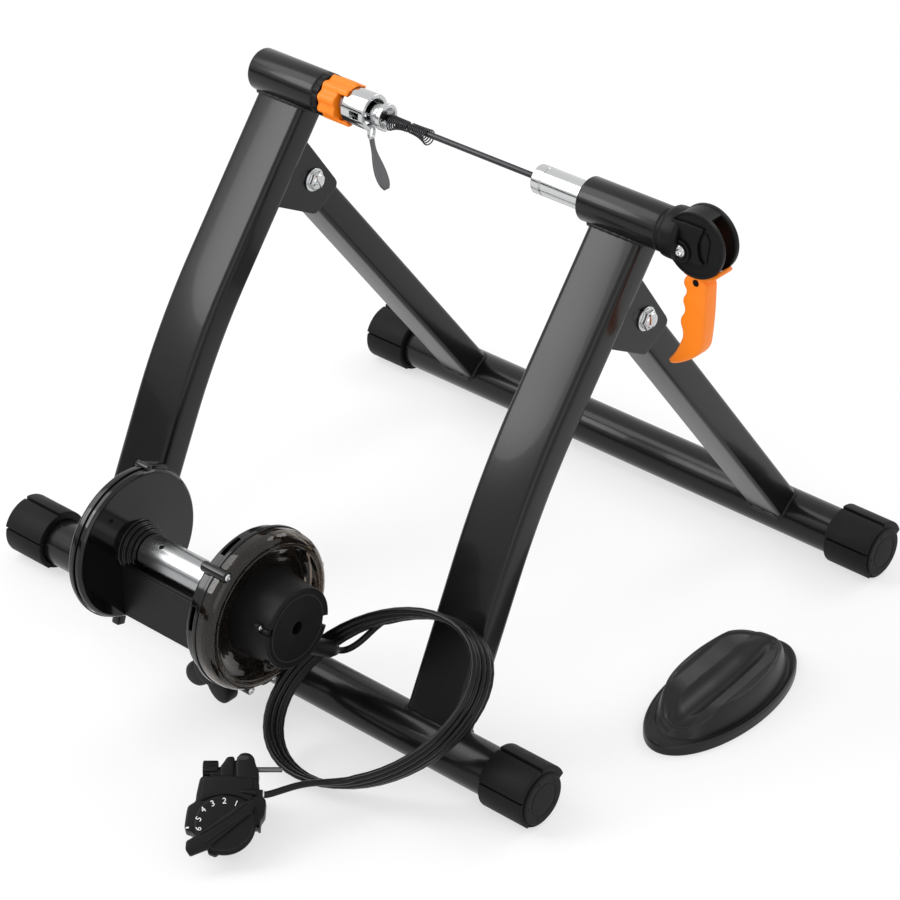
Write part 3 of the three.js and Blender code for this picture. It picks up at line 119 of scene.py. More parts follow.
def arc(centre: Pair, radius: float, start: float, end: float, steps: int) -> list[Pair]:
    """Points round an arc.

    Args:
        centre: the arc's centre.
        radius: its radius.
        start: first angle, in radians.
        end: last angle, in radians.
        steps: how many steps lie between them.

    Returns:
        steps + 1 points.
    """
    angles = [start + (end - start) * i / steps for i in range(steps + 1)]
    return [(centre[0] + radius * cos(a), centre[1] + radius * sin(a)) for a in angles]


def rounded(line: Line, radius: float, closed: bool = True, steps: int = 4) -> list[Pair]:
    """Rounds each corner of a polyline.

    Args:
        line: the corner points.
        radius: the reach of each round, kept under half of the shorter side.
        closed: whether the last point joins the first.
        steps: steps in each round.

    Returns:
        The rounded polyline.
    """
    count = len(line)
    result: list[Pair] = []
    for i, point in enumerate(line):
        if not closed and i in (0, count - 1):
            result.append(point)
            continue
        here = Vector(point)
        before = Vector(line[i - 1]) - here
        after = Vector(line[(i + 1) % count]) - here
        reach = min(radius, 0.45 * before.length, 0.45 * after.length)
        one, two = here + before.normalized() * reach, here + after.normalized() * reach
        for k in range(steps + 1):
            t = k / steps
            mixed = one.lerp(here, t).lerp(here.lerp(two, t), t)
            result.append((mixed.x, mixed.y))
    return result


def rectangle(half_u: float, half_v: float) -> list[Pair]:
    """The corners of a rectangle about the origin."""
    return [(-half_u, -half_v), (half_u, -half_v), (half_u, half_v), (-half_u, half_v)]


def from_mm(outline: Iterable[Pair], u: float = 0.0, v: float = 0.0) -> list[Pair]:
    """Turns an outline in millimetres into metres about a point."""
    return [(u + a / 1000, v + b / 1000) for a, b in outline]


def smoothed(line: Line, rounds: int = 2) -> list[Pair]:
    """Cuts the corners of a closed outline again and again, so that it flows."""
    points = [Vector(p) for p in line]
    for _ in range(rounds):
        cut: list[Vector] = []
        for i, point in enumerate(points):
            following = points[(i + 1) % len(points)]
            cut += [point.lerp(following, 0.25), point.lerp(following, 0.75)]
        points = cut
    return [(p.x, p.y) for p in points]


def spline_through(points: Sequence[Vector], steps: int) -> list[Vector]:
    """A smooth line through points.

    Args:
        points: the points that the line passes through.
        steps: steps between each two of them.

    Returns:
        The line's points, ends included.
    """
    ends = [points[0] * 2 - points[1], *points, points[-1] * 2 - points[-2]]
    line: list[Vector] = []
    for i in range(len(points) - 1):
        a, b, c, d = ends[i : i + 4]
        for k in range(steps):
            t = k / steps
            bend, twist = 2 * a - 5 * b + 4 * c - d, 3 * b - a - 3 * c + d
            line.append(0.5 * (2 * b + (c - a) * t + bend * t**2 + twist * t**3))
    return [*line, points[-1].copy()]


def along_x(x: float, y: float, z: float) -> Matrix:
    """Moves a shape that was built about the X axis to a line through (x, y, z)."""
    return Matrix.Translation((x, y, z))


def facing_y(x: float, y: float, z: float) -> Matrix:
    """Turns a shape built about X to lie along Y, and moves it."""
    return Matrix.Translation((x, y, z)) @ Matrix.Rotation(pi / 2, 4, "Z")


def facing_z(x: float, y: float, z: float) -> Matrix:
    """Turns a shape built about X to stand along Z, and moves it."""
    return Matrix.Translation((x, y, z)) @ Matrix.Rotation(-pi / 2, 4, "Y")


# Mesh makers


def linked(name: str, data: bpy.types.ID) -> Piece:
    """An object in the scene for a mesh, curve, text, lamp or camera."""
    holder = bpy.data.objects.new(name, data)
    bpy.context.scene.collection.objects.link(holder)
    return holder


def evaluated(holder: Piece) -> bpy.types.Mesh:
    """The mesh that an object's curve, text or modifiers make."""
    return bpy.data.meshes.new_from_object(holder.evaluated_get(bpy.context.evaluated_depsgraph_get()))


def cleaned(mesh: bpy.types.Mesh, reach: float) -> bpy.types.Mesh:
    """Joins a mesh's doubled points within a reach, and turns its faces outwards."""
    shape = bmesh.new()
    shape.from_mesh(mesh)
    bmesh.ops.remove_doubles(shape, verts=shape.verts, dist=reach)
    bmesh.ops.recalc_face_normals(shape, faces=shape.faces)
    shape.to_mesh(mesh)
    shape.free()
    return mesh


def mesh_object(name: str, points: Iterable[Sequence[float]], faces: Sequence[Sequence[int]]) -> Piece:
    """Makes a linked object from points and faces, with its faces turned outwards.

    Args:
        name: the object's name.
        points: vertex places.
        faces: vertex numbers of each face.

    Returns:
        The object.
    """
    mesh = bpy.data.meshes.new(name)
    mesh.from_pydata([tuple(p) for p in points], [], [tuple(f) for f in faces])
    return linked(name, cleaned(mesh, 1e-7))


def loft(name: str, rings: Sequence[Sequence[Vector]], capped: bool = True, looped: bool = False) -> Piece:
    """Skins a row of closed rings that have the same number of points.

    Args:
        name: the object's name.
        rings: the rings, in order.
        capped: whether the first and last ring are closed with a face.
        looped: whether the last ring joins the first.

    Returns:
        The object.
    """
    size, count = len(rings[0]), len(rings)
    faces: list[list[int]] = []
    for i in range(count if looped else count - 1):
        low, high = i * size, ((i + 1) % count) * size
        faces += [[low + k, low + (k + 1) % size, high + (k + 1) % size, high + k] for k in range(size)]
    if capped and not looped:
        faces += [list(range(size)), list(range((count - 1) * size, count * size))]
    return mesh_object(name, [p for ring in rings for p in ring], faces)


def lathe(
    name: str, profile: Line, steps: int = FINE, ring: bool = False, rule: RadiusRule | None = None,
    span: Pair | None = None
) -> Piece:
    """Turns a profile of (x, radius) about the X axis.

    Args:
        name: the object's name.
        profile: the profile, from the axis to the axis, or closed on itself.
        steps: steps round the turn.
        ring: whether the profile is closed, as a wall's is.
        rule: gives the radius from (x, radius, angle), for flutes and lobes.
        span: first and last angle of a part turn.

    Returns:
        The object.
    """
    start, end = span or (0.0, TURN)
    sweep = [start + (end - start) * i / steps for i in range(steps + (1 if span else 0))]
    rings: list[list[Vector]] = []
    for angle in sweep:
        radii = [rule(x, r, angle) if rule else r for x, r in profile]
        rings.append([Vector((x, r * cos(angle), r * sin(angle))) for (x, _), r in zip(profile, radii)])
    if ring:
        return loft(name, rings, capped=span is not None, looped=span is None)
    size = len(profile)
    faces = []
    for i in range(steps):
        low, high = i * size, ((i + 1) % len(sweep)) * size
        faces += [[low + k, low + k + 1, high + k + 1, high + k] for k in range(size - 1)]
    return mesh_object(name, [p for row in rings for p in row], faces)


def turned(
    name: str, profile: Line, edge: float, steps: int = FINE, rule: RadiusRule | None = None
) -> Piece:
    """Turns an open profile of (x, radius) about the X axis, with its corners rounded."""
    return lathe(name, rounded(profile, edge, closed=False), steps, rule=rule)


def rod(name: str, start: float, end: float, radius: float, edge: float, steps: int = MEDIUM) -> Piece:
    """A solid round bar along X with rounded rims."""
    return turned(name, [(start, 0), (start, radius), (end, radius), (end, 0)], edge, steps)


def pipe(
    name: str, start: float, end: float, radius: float, bore: float, edge: float, steps: int = FINE,
    rule: RadiusRule | None = None, span: Pair | None = None
) -> Piece:
    """A round tube along X, or a part turn of one, with rounded rims."""
    line = rounded([(start, bore), (start, radius), (end, radius), (end, bore)], edge)
    return lathe(name, line, steps, ring=True, rule=rule, span=span)


def plate(name: str, outlines: Sequence[Line], low: float, high: float, edge: float, plane: Plane) -> Piece:
    """A flat plate with holes and rounded edges.

    Args:
        name: the object's name.
        outlines: the outer line first, then any holes.
        low: where the plate starts along its thickness.
        high: where it ends.
        edge: the radius of its rounded edges.
        plane: which way the thickness runs.

    Returns:
        The object.
    """
    curve = bpy.data.curves.new(name, "CURVE")
    curve.dimensions, curve.fill_mode = "2D", "BOTH"
    curve.bevel_depth, curve.bevel_resolution, curve.offset = edge, 2, -edge
    curve.extrude = (high - low) / 2 - edge
    for outline in outlines:
        spline = curve.splines.new("POLY")
        spline.points.add(len(outline) - 1)
        for point, (u, v) in zip(spline.points, outline):
            point.co = (u, v, 0, 1)
        spline.use_cyclic_u = True
    holder = linked(name, curve)
    mesh = evaluated(holder)
    bpy.data.objects.remove(holder)
    middle_line = (low + high) / 2
    mesh.transform(
        {
            Plane.X: Matrix(((0, 0, 1, middle_line), (1, 0, 0, 0), (0, 1, 0, 0), (0, 0, 0, 1))),
            Plane.Y: Matrix(((1, 0, 0, 0), (0, 0, -1, middle_line), (0, 1, 0, 0), (0, 0, 0, 1))),
            Plane.Z: Matrix.Translation((0, 0, middle_line))}[plane])
    return linked(name, cleaned(mesh, 1e-6))


def tube(
    name: str, points: Sequence[Vector], radius: float | Callable[[float], float], sides: int
) -> Piece:
    """One unbroken tube along a line, carried by a frame that never flips.

    Args:
        name: the object's name.
        points: the centre line.
        radius: its radius, or a rule that gives it from the share of the way along.
        sides: sides of its section.

    Returns:
        The object.
    """
    count = len(points)
    corners = [TURN * k / sides for k in range(sides)]
    rings: list[list[Vector]] = []
    side: Vector | None = None
    for i, point in enumerate(points):
        heading = (points[min(i + 1, count - 1)] - points[max(i - 1, 0)]).normalized()
        if side is None:
            side = heading.cross(Vector((0, 0, 1)) if abs(heading.z) < 0.9 else Vector((1, 0, 0)))
        side = (side - heading * side.dot(heading)).normalized()
        other = heading.cross(side)
        reach = radius(i / (count - 1)) if callable(radius) else radius
        rings.append([point + (side * cos(a) + other * sin(a)) * reach for a in corners])
    return loft(name, rings)


def weld_bead(
    name: str, points: Sequence[Vector], radius: float, spacing: float = 1.4, dip: float = 0.22
) -> Piece:
    """A weld's rope of overlapping drops along a line.

    Args:
        name: the object's name.
        points: the line.
        radius: a drop's radius.
        spacing: the drops' spacing in radii.
        dip: the share of the radius by which the rope narrows between drops.

    Returns:
        The object.
    """
    length = sum((b - a).length for a, b in zip(points, points[1:]))
    drops = max(2, round(length / (spacing * radius)))
    line = spline_through(points, max(2, round(6 * drops / len(points))))
    return tube(name, line, lambda t: radius * (1 - dip + dip * abs(sin(t * drops * pi))), 10)


def carve(piece: Piece, *tools: Piece) -> Piece:
    """Cuts the tools' shapes out of a piece, and removes the tools."""
    for tool in tools:
        step = piece.modifiers.new("carve", "BOOLEAN")
        step.operation, step.solver, step.object = "DIFFERENCE", "EXACT", tool
    mesh = evaluated(piece)
    piece.modifiers.clear()
    piece.data = mesh
    for tool in tools:
        bpy.data.objects.remove(tool)
    return piece


def spun(piece: Piece, turn: float) -> Piece:
    """Turns a piece's mesh about the X axis."""
    piece.data.transform(Matrix.Rotation(turn, 4, "X"))
    return piece


def box_tool(low: Sequence[float], high: Sequence[float]) -> Piece:
    """A block for carving with."""
    corners = [(x, y, z) for x in (low[0], high[0]) for y in (low[1], high[1]) for z in (low[2], high[2])]
    faces = [(0, 1, 3, 2), (4, 6, 7, 5), (0, 4, 5, 1), (2, 3, 7, 6), (0, 2, 6, 4), (1, 5, 7, 3)]
    return mesh_object("tool", corners, faces)


# Finishes


class Nodes:
    """A short way to write a node tree."""

    def __init__(self, tree: bpy.types.NodeTree) -> None:
        """Takes the tree that the nodes are added to."""
        self.tree = tree

    def feed(self, socket: bpy.types.NodeSocket, value: object) -> None:
        """Links an input to another socket, or gives it a plain value."""
        if isinstance(value, bpy.types.NodeSocket):
            self.tree.links.new(value, socket)
        else:
            socket.default_value = value

    def add(
        self, kind: str, inputs: dict[str | int, object] | None = None, **settings: object
    ) -> bpy.types.Node:
        """Adds a node.

        Args:
            kind: its type.
            inputs: a socket or a plain value for each input that needs one.
            settings: its plain settings.

        Returns:
            The node.
        """
        node = self.tree.nodes.new(kind)
        for name, value in settings.items():
            setattr(node, name, value)
        for label, value in (inputs or {}).items():
            self.feed(node.inputs[label], value)
        return node

    def maths(self, operation: str, one: object, two: object) -> bpy.types.NodeSocket:
        """Adds a Math node on two sockets or numbers, and gives its output."""
        return self.add("ShaderNodeMath", {0: one, 1: two}, operation=operation).outputs[0]


def new_group(
    name: str, inputs: dict[str, tuple[str, object]], outputs: dict[str, str]
) -> bpy.types.NodeTree:
    """Starts a shader node group.

    Args:
        name: the group's name.
        inputs: each input's socket kind and default.
        outputs: each output's socket kind.

    Returns:
        The group, with its Group Input and Group Output nodes.
    """
    tree = bpy.data.node_groups.new(name, "ShaderNodeTree")
    for label, (kind, default) in inputs.items():
        tree.interface.new_socket(label, in_out="INPUT", socket_type=kind).default_value = default
    for label, kind in outputs.items():
        tree.interface.new_socket(label, in_out="OUTPUT", socket_type=kind)
    tree.nodes.new("NodeGroupInput")
    tree.nodes.new("NodeGroupOutput")
    return tree


def grain_group() -> None:
    """Fine moulded or sprayed grain: a height, and a roughness that wanders about its base."""
    number = "NodeSocketFloat"
    defaults = {"Scale": 900.0, "Stretch": 1.0, "Base": 0.4, "Spread": 0.1}
    tree = new_group(
        "surface_grain", {label: (number, value) for label, value in defaults.items()},
        {"Roughness": number, "Height": number})
    nodes = Nodes(tree)
    given, target = tree.nodes["Group Input"].outputs, tree.nodes["Group Output"].inputs
    place = nodes.add("ShaderNodeTexCoord").outputs["Object"]
    squeeze = nodes.add("ShaderNodeCombineXYZ", {"X": given["Stretch"], "Y": 1.0, "Z": 1.0}).outputs[0]
    scaled = nodes.add("ShaderNodeVectorMath", {0: place, 1: squeeze}, operation="MULTIPLY").outputs[0]
    fine = nodes.add("ShaderNodeTexNoise", {"Vector": scaled, "Scale": given["Scale"], "Detail": 3.0})
    wide = nodes.maths("DIVIDE", given["Scale"], 22.0)
    broad = nodes.add("ShaderNodeTexNoise", {"Vector": scaled, "Scale": wide, "Detail": 4.0})
    mixed = nodes.maths("ADD", fine.outputs["Fac"], broad.outputs["Fac"])
    wander = nodes.maths("MULTIPLY", nodes.maths("SUBTRACT", mixed, 1.0), given["Spread"])
    nodes.feed(target["Roughness"], nodes.maths("ADD", given["Base"], wander))
    nodes.feed(target["Height"], fine.outputs["Fac"])


def wear_group() -> None:
    """Colour that drifts a little, is rubbed on raised edges and dusted on upward faces."""
    number, colour = "NodeSocketFloat", "NodeSocketColor"
    tree = new_group(
        "edge_wear_and_dust",
        {
            "Base": (colour, (0.5, 0.5, 0.5, 1)), "Rubbed": (colour, (0.7, 0.7, 0.7, 1)),
            "Wear": (number, 0.2), "Dust": (number, 0.05), "Drift": (number, 0.1)},
        {"Color": colour})
    nodes = Nodes(tree)
    given = tree.nodes["Group Input"].outputs
    place = nodes.add("ShaderNodeTexCoord").outputs["Object"]
    cloud = nodes.add("ShaderNodeTexNoise", {"Vector": place, "Scale": 38.0, "Detail": 5.0})
    patches = cloud.outputs["Fac"]
    surface = nodes.add("ShaderNodeNewGeometry").outputs
    raised = {"Value": surface["Pointiness"], "From Min": 0.54, "From Max": 0.66}
    edge = nodes.add("ShaderNodeMapRange", raised).outputs[0]
    rubbed = nodes.maths("MULTIPLY", nodes.maths("MULTIPLY", edge, patches), given["Wear"])
    height = nodes.add("ShaderNodeSeparateXYZ", {0: surface["Normal"]}).outputs["Z"]
    upward = nodes.add("ShaderNodeMapRange", {"Value": height, "From Min": 0.3, "From Max": 1.0}).outputs[0]
    dusted = nodes.maths("MULTIPLY", nodes.maths("MULTIPLY", upward, patches), given["Dust"])
    shade = nodes.maths("MULTIPLY", nodes.maths("SUBTRACT", patches, 0.5), given["Drift"])
    drift = {"Value": nodes.maths("ADD", shade, 1.0), "Color": given["Base"]}
    tone = nodes.add("ShaderNodeHueSaturation", drift).outputs[0]
    worn = nodes.add("ShaderNodeMix", {0: rubbed, 6: tone, 7: given["Rubbed"]}, data_type="RGBA").outputs[2]
    dust = nodes.add("ShaderNodeMix", {0: dusted, 6: worn, 7: (0.42, 0.41, 0.4, 1)}, data_type="RGBA")
    nodes.feed(tree.nodes["Group Output"].inputs["Color"], dust.outputs[2])


@dataclass(frozen=True)
class Finish:
    """One surface finish, as the Principled BSDF and the shared groups need it."""

    name: str
    colour: Triple
    rubbed: Triple
    roughness: float
    spread: float = 0.08
    metallic: float = 0.0
    coat: float = 0.0
    coat_roughness: float = 0.05
    specular: float = 0.5
    grain_scale: float = 900.0
    grain_stretch: float = 1.0
    grain_depth: float = 0.00002
    edge_round: float = 0.0006
    wear: float = 0.15
    dust: float = 0.0
    drift: float = 0.15
    transmission: float = 0.0
    ior: float = 1.5

    def build(self) -> bpy.types.Material:
        """Makes the material, with the shared groups feeding its colour, roughness and height."""
        material = bpy.data.materials.new(self.name)
        material.use_nodes = True
        nodes = Nodes(material.node_tree)
        groups = bpy.data.node_groups
        look = {
            "Base": (*self.colour, 1), "Rubbed": (*self.rubbed, 1), "Wear": self.wear, "Dust": self.dust,
            "Drift": self.drift}
        worn = nodes.add("ShaderNodeGroup", look, node_tree=groups["edge_wear_and_dust"])
        touch = {
            "Scale": self.grain_scale, "Stretch": self.grain_stretch, "Base": self.roughness,
            "Spread": self.spread}
        grain = nodes.add("ShaderNodeGroup", touch, node_tree=groups["surface_grain"])
        bump = nodes.add(
            "ShaderNodeBump",
            {"Strength": 1.0, "Distance": self.grain_depth, "Height": grain.outputs["Height"]})
        if self.edge_round:
            edge = nodes.add("ShaderNodeBevel", {"Radius": self.edge_round}, samples=6)
            nodes.feed(bump.inputs["Normal"], edge.outputs[0])
        shader = {
            "Base Color": worn.outputs["Color"], "Roughness": grain.outputs["Roughness"],
            "Normal": bump.outputs[0], "Metallic": self.metallic, "Coat Weight": self.coat,
            "Coat Roughness": self.coat_roughness, "Specular IOR Level": self.specular,
            "Transmission Weight": self.transmission, "IOR": self.ior}
        for label, value in shader.items():
            nodes.feed(material.node_tree.nodes["Principled BSDF"].inputs[label], value)
        return material


FINISHES = (
    Finish(
        "frame_paint", (0.006, 0.006, 0.0065), (0.08, 0.08, 0.08), 0.24, 0.05, coat=0.1, specular=0.22,
        grain_scale=420.0, grain_depth=0.000012, edge_round=0.0012, wear=0.06, dust=0.004),
    Finish(
        "cap_rubber", (0.0055, 0.0055, 0.006), (0.03, 0.03, 0.03), 0.55, 0.12, grain_scale=2600.0,
        grain_depth=0.00003, edge_round=0.0008, wear=0.06, dust=0.003, specular=0.14),
    Finish(
        "moulded_plastic", (0.0045, 0.0044, 0.0048), (0.02, 0.02, 0.022), 0.42, 0.1, grain_scale=1800.0,
        wear=0.05, dust=0.002, specular=0.15),
    Finish(
        "riser_plastic", (0.0115, 0.0113, 0.0125), (0.04, 0.04, 0.042), 0.36, 0.1, grain_scale=1800.0,
        edge_round=0.0009, wear=0.06, dust=0.003, specular=0.24),
    Finish(
        "cover_gloss", (0.0035, 0.0035, 0.004), (0.02, 0.02, 0.02), 0.1, 0.05, coat=0.08, specular=0.3,
        grain_scale=240.0, grain_depth=0.000006, edge_round=0.0008, wear=0.03, dust=0.002),
    Finish(
        "smoked_cover", (0.17, 0.135, 0.105), (0.4, 0.34, 0.28), 0.05, 0.02, grain_scale=160.0,
        specular=0.75, grain_depth=0.0, edge_round=0.0, wear=0.0, transmission=0.97, ior=1.4),
    Finish(
        "orange_plastic", (0.96, 0.225, 0.004), (1.0, 0.42, 0.08), 0.42, 0.08, grain_scale=1600.0,
        grain_depth=0.000015, wear=0.06, drift=0.06, specular=0.35),
    Finish(
        "chrome_plate", (0.56, 0.565, 0.57), (0.75, 0.75, 0.75), 0.12, 0.08, metallic=1.0,
        grain_scale=700.0, grain_depth=0.000006, edge_round=0.0004, wear=0.1),
    Finish(
        "turned_steel", (0.36, 0.365, 0.37), (0.6, 0.6, 0.6), 0.26, 0.06, metallic=1.0, grain_stretch=0.2,
        grain_depth=0.000003, edge_round=0.0004, wear=0.1),
    Finish(
        "lever_steel", (0.13, 0.13, 0.135), (0.4, 0.4, 0.4), 0.36, 0.12, metallic=1.0, grain_scale=700.0,
        grain_depth=0.00001, edge_round=0.0004, wear=0.1),
    Finish(
        "blued_steel", (0.045, 0.045, 0.048), (0.2, 0.2, 0.2), 0.38, 0.12, metallic=0.9,
        grain_depth=0.00001, edge_round=0.0003, wear=0.1),
    Finish(
        "white_print", (0.8, 0.8, 0.8), (0.8, 0.8, 0.8), 0.5, 0.05, grain_scale=1500.0,
        grain_depth=0.000005, edge_round=0.0, wear=0.0, drift=0.05),
    # Lighter grey than the black plastics: a painted highlight on the hub's fine ring and on the remote's
    # ear recess.
    Finish(
        "edge_grey", (0.03, 0.03, 0.032), (0.05, 0.05, 0.05), 0.5, 0.05, grain_scale=1500.0,
        grain_depth=0.000005, edge_round=0.0, wear=0.0, specular=0.2),
    Finish(
        "cable_jacket", (0.005, 0.005, 0.0055), (0.03, 0.03, 0.03), 0.26, 0.08, grain_scale=1400.0,
        grain_depth=0.00001, edge_round=0.0, wear=0.03, dust=0.001, specular=0.2),
    # Near black: the painted shade of the handle's screw hole, and the own black of the roller's grub screw
    # and of the dark card.
    Finish(
        "socket_dark", (0.003, 0.003, 0.003), (0.01, 0.01, 0.01), 0.6, 0.1, edge_round=0.0, specular=0.1,
        dust=0.02))

SLOT_FINISH = {
    Slot.PAINT: "frame_paint", Slot.RUBBER: "cap_rubber", Slot.PLASTIC: "moulded_plastic",
    Slot.GLOSS: "cover_gloss", Slot.SMOKE: "smoked_cover", Slot.ORANGE: "orange_plastic",
    Slot.CHROME: "chrome_plate", Slot.STEEL: "turned_steel", Slot.DARK_STEEL: "blued_steel"}

SMOOTH_LIMIT = radians(32)


def dress(piece: Piece, finish: str) -> Piece:
    """Smooths a mesh but for its sharp edges, and gives it one finish."""
    piece.data.shade_smooth()
    piece.data.set_sharp_from_angle(angle=SMOOTH_LIMIT)
    piece.data.materials.clear()
    piece.data.materials.append(bpy.data.materials[finish])
    return piece


def finish_piece(
    piece: Piece, body: str, slot: Slot, stands_for: Sequence[str] = (), place: Matrix | None = None,
    finish: str | None = None
) -> Piece:
    """Places a piece, gives it its finish and makes it ride on its body.

    Args:
        piece: the object, in its own place or about its own axis.
        body: the body it rides on.
        slot: the record's slot that it takes its finish from.
        stands_for: the nodes that it replaces.
        place: where its mesh goes.
        finish: a finish other than its slot's.

    Returns:
        The piece.
    """
    if place is not None:
        piece.data.transform(place)
    dress(piece, finish or SLOT_FINISH[slot])
    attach(piece, body)
    if stands_for:
        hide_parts(*stands_for)
    return piece


def soften_group() -> None:
    """A geometry group that joins a solid's faces and keeps only its real edges sharp."""
    tree = bpy.data.node_groups.new("soft_shading", "GeometryNodeTree")
    for way in ("INPUT", "OUTPUT"):
        tree.interface.new_socket("Geometry", in_out=way, socket_type="NodeSocketGeometry")
    nodes = Nodes(tree)
    source, target = nodes.add("NodeGroupInput"), nodes.add("NodeGroupOutput")
    merge = {"Geometry": source.outputs[0], "Distance": 1e-5}
    merged = nodes.add("GeometryNodeMergeByDistance", merge).outputs[0]
    smooth = nodes.add("GeometryNodeSetShadeSmooth", {"Geometry": merged}, domain="FACE").outputs[0]
    angle = nodes.add("GeometryNodeInputMeshEdgeAngle").outputs["Unsigned Angle"]
    steep = nodes.add("FunctionNodeCompare", {0: angle, 1: SMOOTH_LIMIT}, operation="GREATER_THAN")
    edges = {"Geometry": smooth, "Selection": steep.outputs[0], "Shade Smooth": False}
    sharp = nodes.add("GeometryNodeSetShadeSmooth", edges, domain="EDGE")
    nodes.feed(target.inputs[0], sharp.outputs[0])


def dress_solid(node: Piece, finish: str) -> None:
    """Gives a carried-over solid its finish and soft shading."""
    node.data.materials.clear()
    node.data.materials.append(bpy.data.materials[finish])
    step = node.modifiers.new("soften", "NODES")
    step.node_group = bpy.data.node_groups["soft_shading"]


# The frame's own measures


def middle(node: str) -> Vector:
    """The middle of a node's box."""
    low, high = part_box(node)
    return (low + high) / 2


def radius_of(node: str) -> float:
    """The radius of a round node that lies flat."""
    low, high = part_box(node)
    return (high.z - low.z) / 2


@dataclass(frozen=True)
class Datums:
    """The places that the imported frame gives, which the sub-assemblies are built about."""

    bar: Vector
    front_bar: Vector
    axle: Vector
    pivot: Vector
    unit: Vector
    tilt: Vector

    @classmethod
    def from_frame(cls) -> Datums:
        """Reads the places from the nodes' boxes."""
        bar = middle("rear_bar")
        axle, pivot = middle("right_sleeve"), middle("left_pivot_bolt")
        unit, tilt = middle("roller"), middle("tilt_pin")
        lines = [Vector((bar.x, p.y, p.z)) for p in (bar, middle("front_bar"), axle, pivot, unit, tilt)]
        return cls(*lines)


# Cables


@dataclass
class Cable:
    """The brake cable: out of the hub, round its leaning loops, and into the remote."""

    datums: Datums
    radius: float = 0.0025
    loop_centre: Pair = (0.1404, -0.0216)
    half_width: float = 0.0713
    half_height: float = 0.0759
    slant: float = 0.0303
    lean: float = radians(48.4)
    pitch: float = 0.0057
    sway: float = 0.002
    start: float = radians(135)
    end: float = radians(-50)
    extra_turns: int = 4
    lift: float = 0.0003
    sides: int = 12
    lead_in: tuple[Triple, ...] = (
        (0.092, -0.0223, 0.0803), (0.0921, -0.0182, 0.0776), (0.0929, -0.0133, 0.0758),
        (0.0946, -0.008, 0.0761), (0.0967, -0.0026, 0.0784), (0.0989, 0.0022, 0.0819),
        (0.1012, 0.0064, 0.086), (0.1039, 0.0098, 0.0901), (0.1071, 0.0123, 0.0938),
        (0.1112, 0.0139, 0.0957))
    lead_out: tuple[Triple, ...] = (
        (0.1617, -0.0786, 0.0302), (0.1578, -0.0807, 0.0279), (0.1525, -0.0845, 0.0264),
        (0.1477, -0.0904, 0.0266), (0.1446, -0.098, 0.0288), (0.1423, -0.106, 0.0314),
        (0.14, -0.1143, 0.0332), (0.1377, -0.1225, 0.0341), (0.1352, -0.1302, 0.0344),
        (0.1326, -0.136, 0.0343), (0.1296, -0.1394, 0.0341))

    def placed(self, points: Iterable[Sequence[float]]) -> list[Vector]:
        """Moves points from the frame's middle line and rear bar to their place."""
        shift = Vector((self.datums.bar.x, self.datums.bar.y, 0))
        return [Vector(p) + shift for p in points]

    def loops(self) -> list[Vector]:
        """The loops' centre line, which climbs at a steady rate across its leaning plane."""
        turns = (self.start - self.end) / TURN + self.extra_turns
        steps = round(turns * 48)
        up = Vector((0, cos(self.lean), sin(self.lean)))
        out = Vector((0, -sin(self.lean), cos(self.lean)))
        points = []
        for i in range(steps + 1):
            wound = turns * i / steps
            angle = self.start - wound * TURN
            draw = self.sway * sin(wound * pi * 0.8) ** 2
            across = (self.half_width - draw) * cos(angle) + self.slant * sin(angle)
            rise = (self.half_height - draw) * sin(angle)
            centre = Vector((self.loop_centre[0] + across, self.loop_centre[1], 0))
            points.append(centre + up * rise + out * wound * self.pitch)
        lowest = self.radius + self.lift - min(p.z for p in points)
        return [p + Vector((0, 0, lowest)) for p in points]

    @staticmethod
    def length(points: Sequence[Vector]) -> float:
        """The length of a line."""
        return sum((b - a).length for a, b in zip(points, points[1:]))

    def build(self) -> None:
        """Makes the stretch from the hub into the loops, and the loops that lie still."""
        loops = self.placed(self.loops())
        lead = spline_through([*self.placed(self.lead_in)[:-1], loops[0]], 6)
        rest = loops[:-1] + spline_through([loops[-1], *self.placed(self.lead_out)[1:]], 6)
        first = dress(tube("cable_at_hub", lead, self.radius, self.sides), "cable_jacket")
        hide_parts("cable_lead_in")
        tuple(lead[4])
        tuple(lead[-6])
        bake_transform(first)
        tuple(lead[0])
        second = finish_piece(
            tube("cable_loops", rest, self.radius, self.sides), "frame", Slot.RUBBER,
            ("cable_coil", "cable_lead_out"), finish="cable_jacket")
        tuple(rest[0])
        LOG.info("cable: %.3f m at the hub, %.3f m in the loops", self.length(lead), self.length(rest))


# Floor bars, caps, uprights and struts

WORLD = Matrix.Identity(4)


@dataclass
class Assembly:
    """A sub-assembly, with the body and the slot that most of its pieces have."""

    datums: Datums
    body: str = "frame"
    slot: Slot = Slot.PLASTIC

    def place(self) -> Matrix:
        """Where pieces that are built about their own axis go."""
        return WORLD

    def add(
        self, piece: Piece, stands_for: str = "", at: Matrix | None = None, body: str = "",
        slot: Slot | None = None, finish: str | None = None
    ) -> None:
        """Finishes one piece and makes it ride.

        Args:
            piece: the object.
            stands_for: the node that it replaces.
            at: its place, if it isn't the assembly's own.
            body: its body, if it isn't the assembly's own.
            slot: its slot, if it isn't the assembly's own.
            finish: a finish other than its slot's.
        """
        nodes = (stands_for,) if stands_for else ()
        place = self.place() if at is None else at
        finish_piece(piece, body or self.body, slot or self.slot, nodes, place, finish)


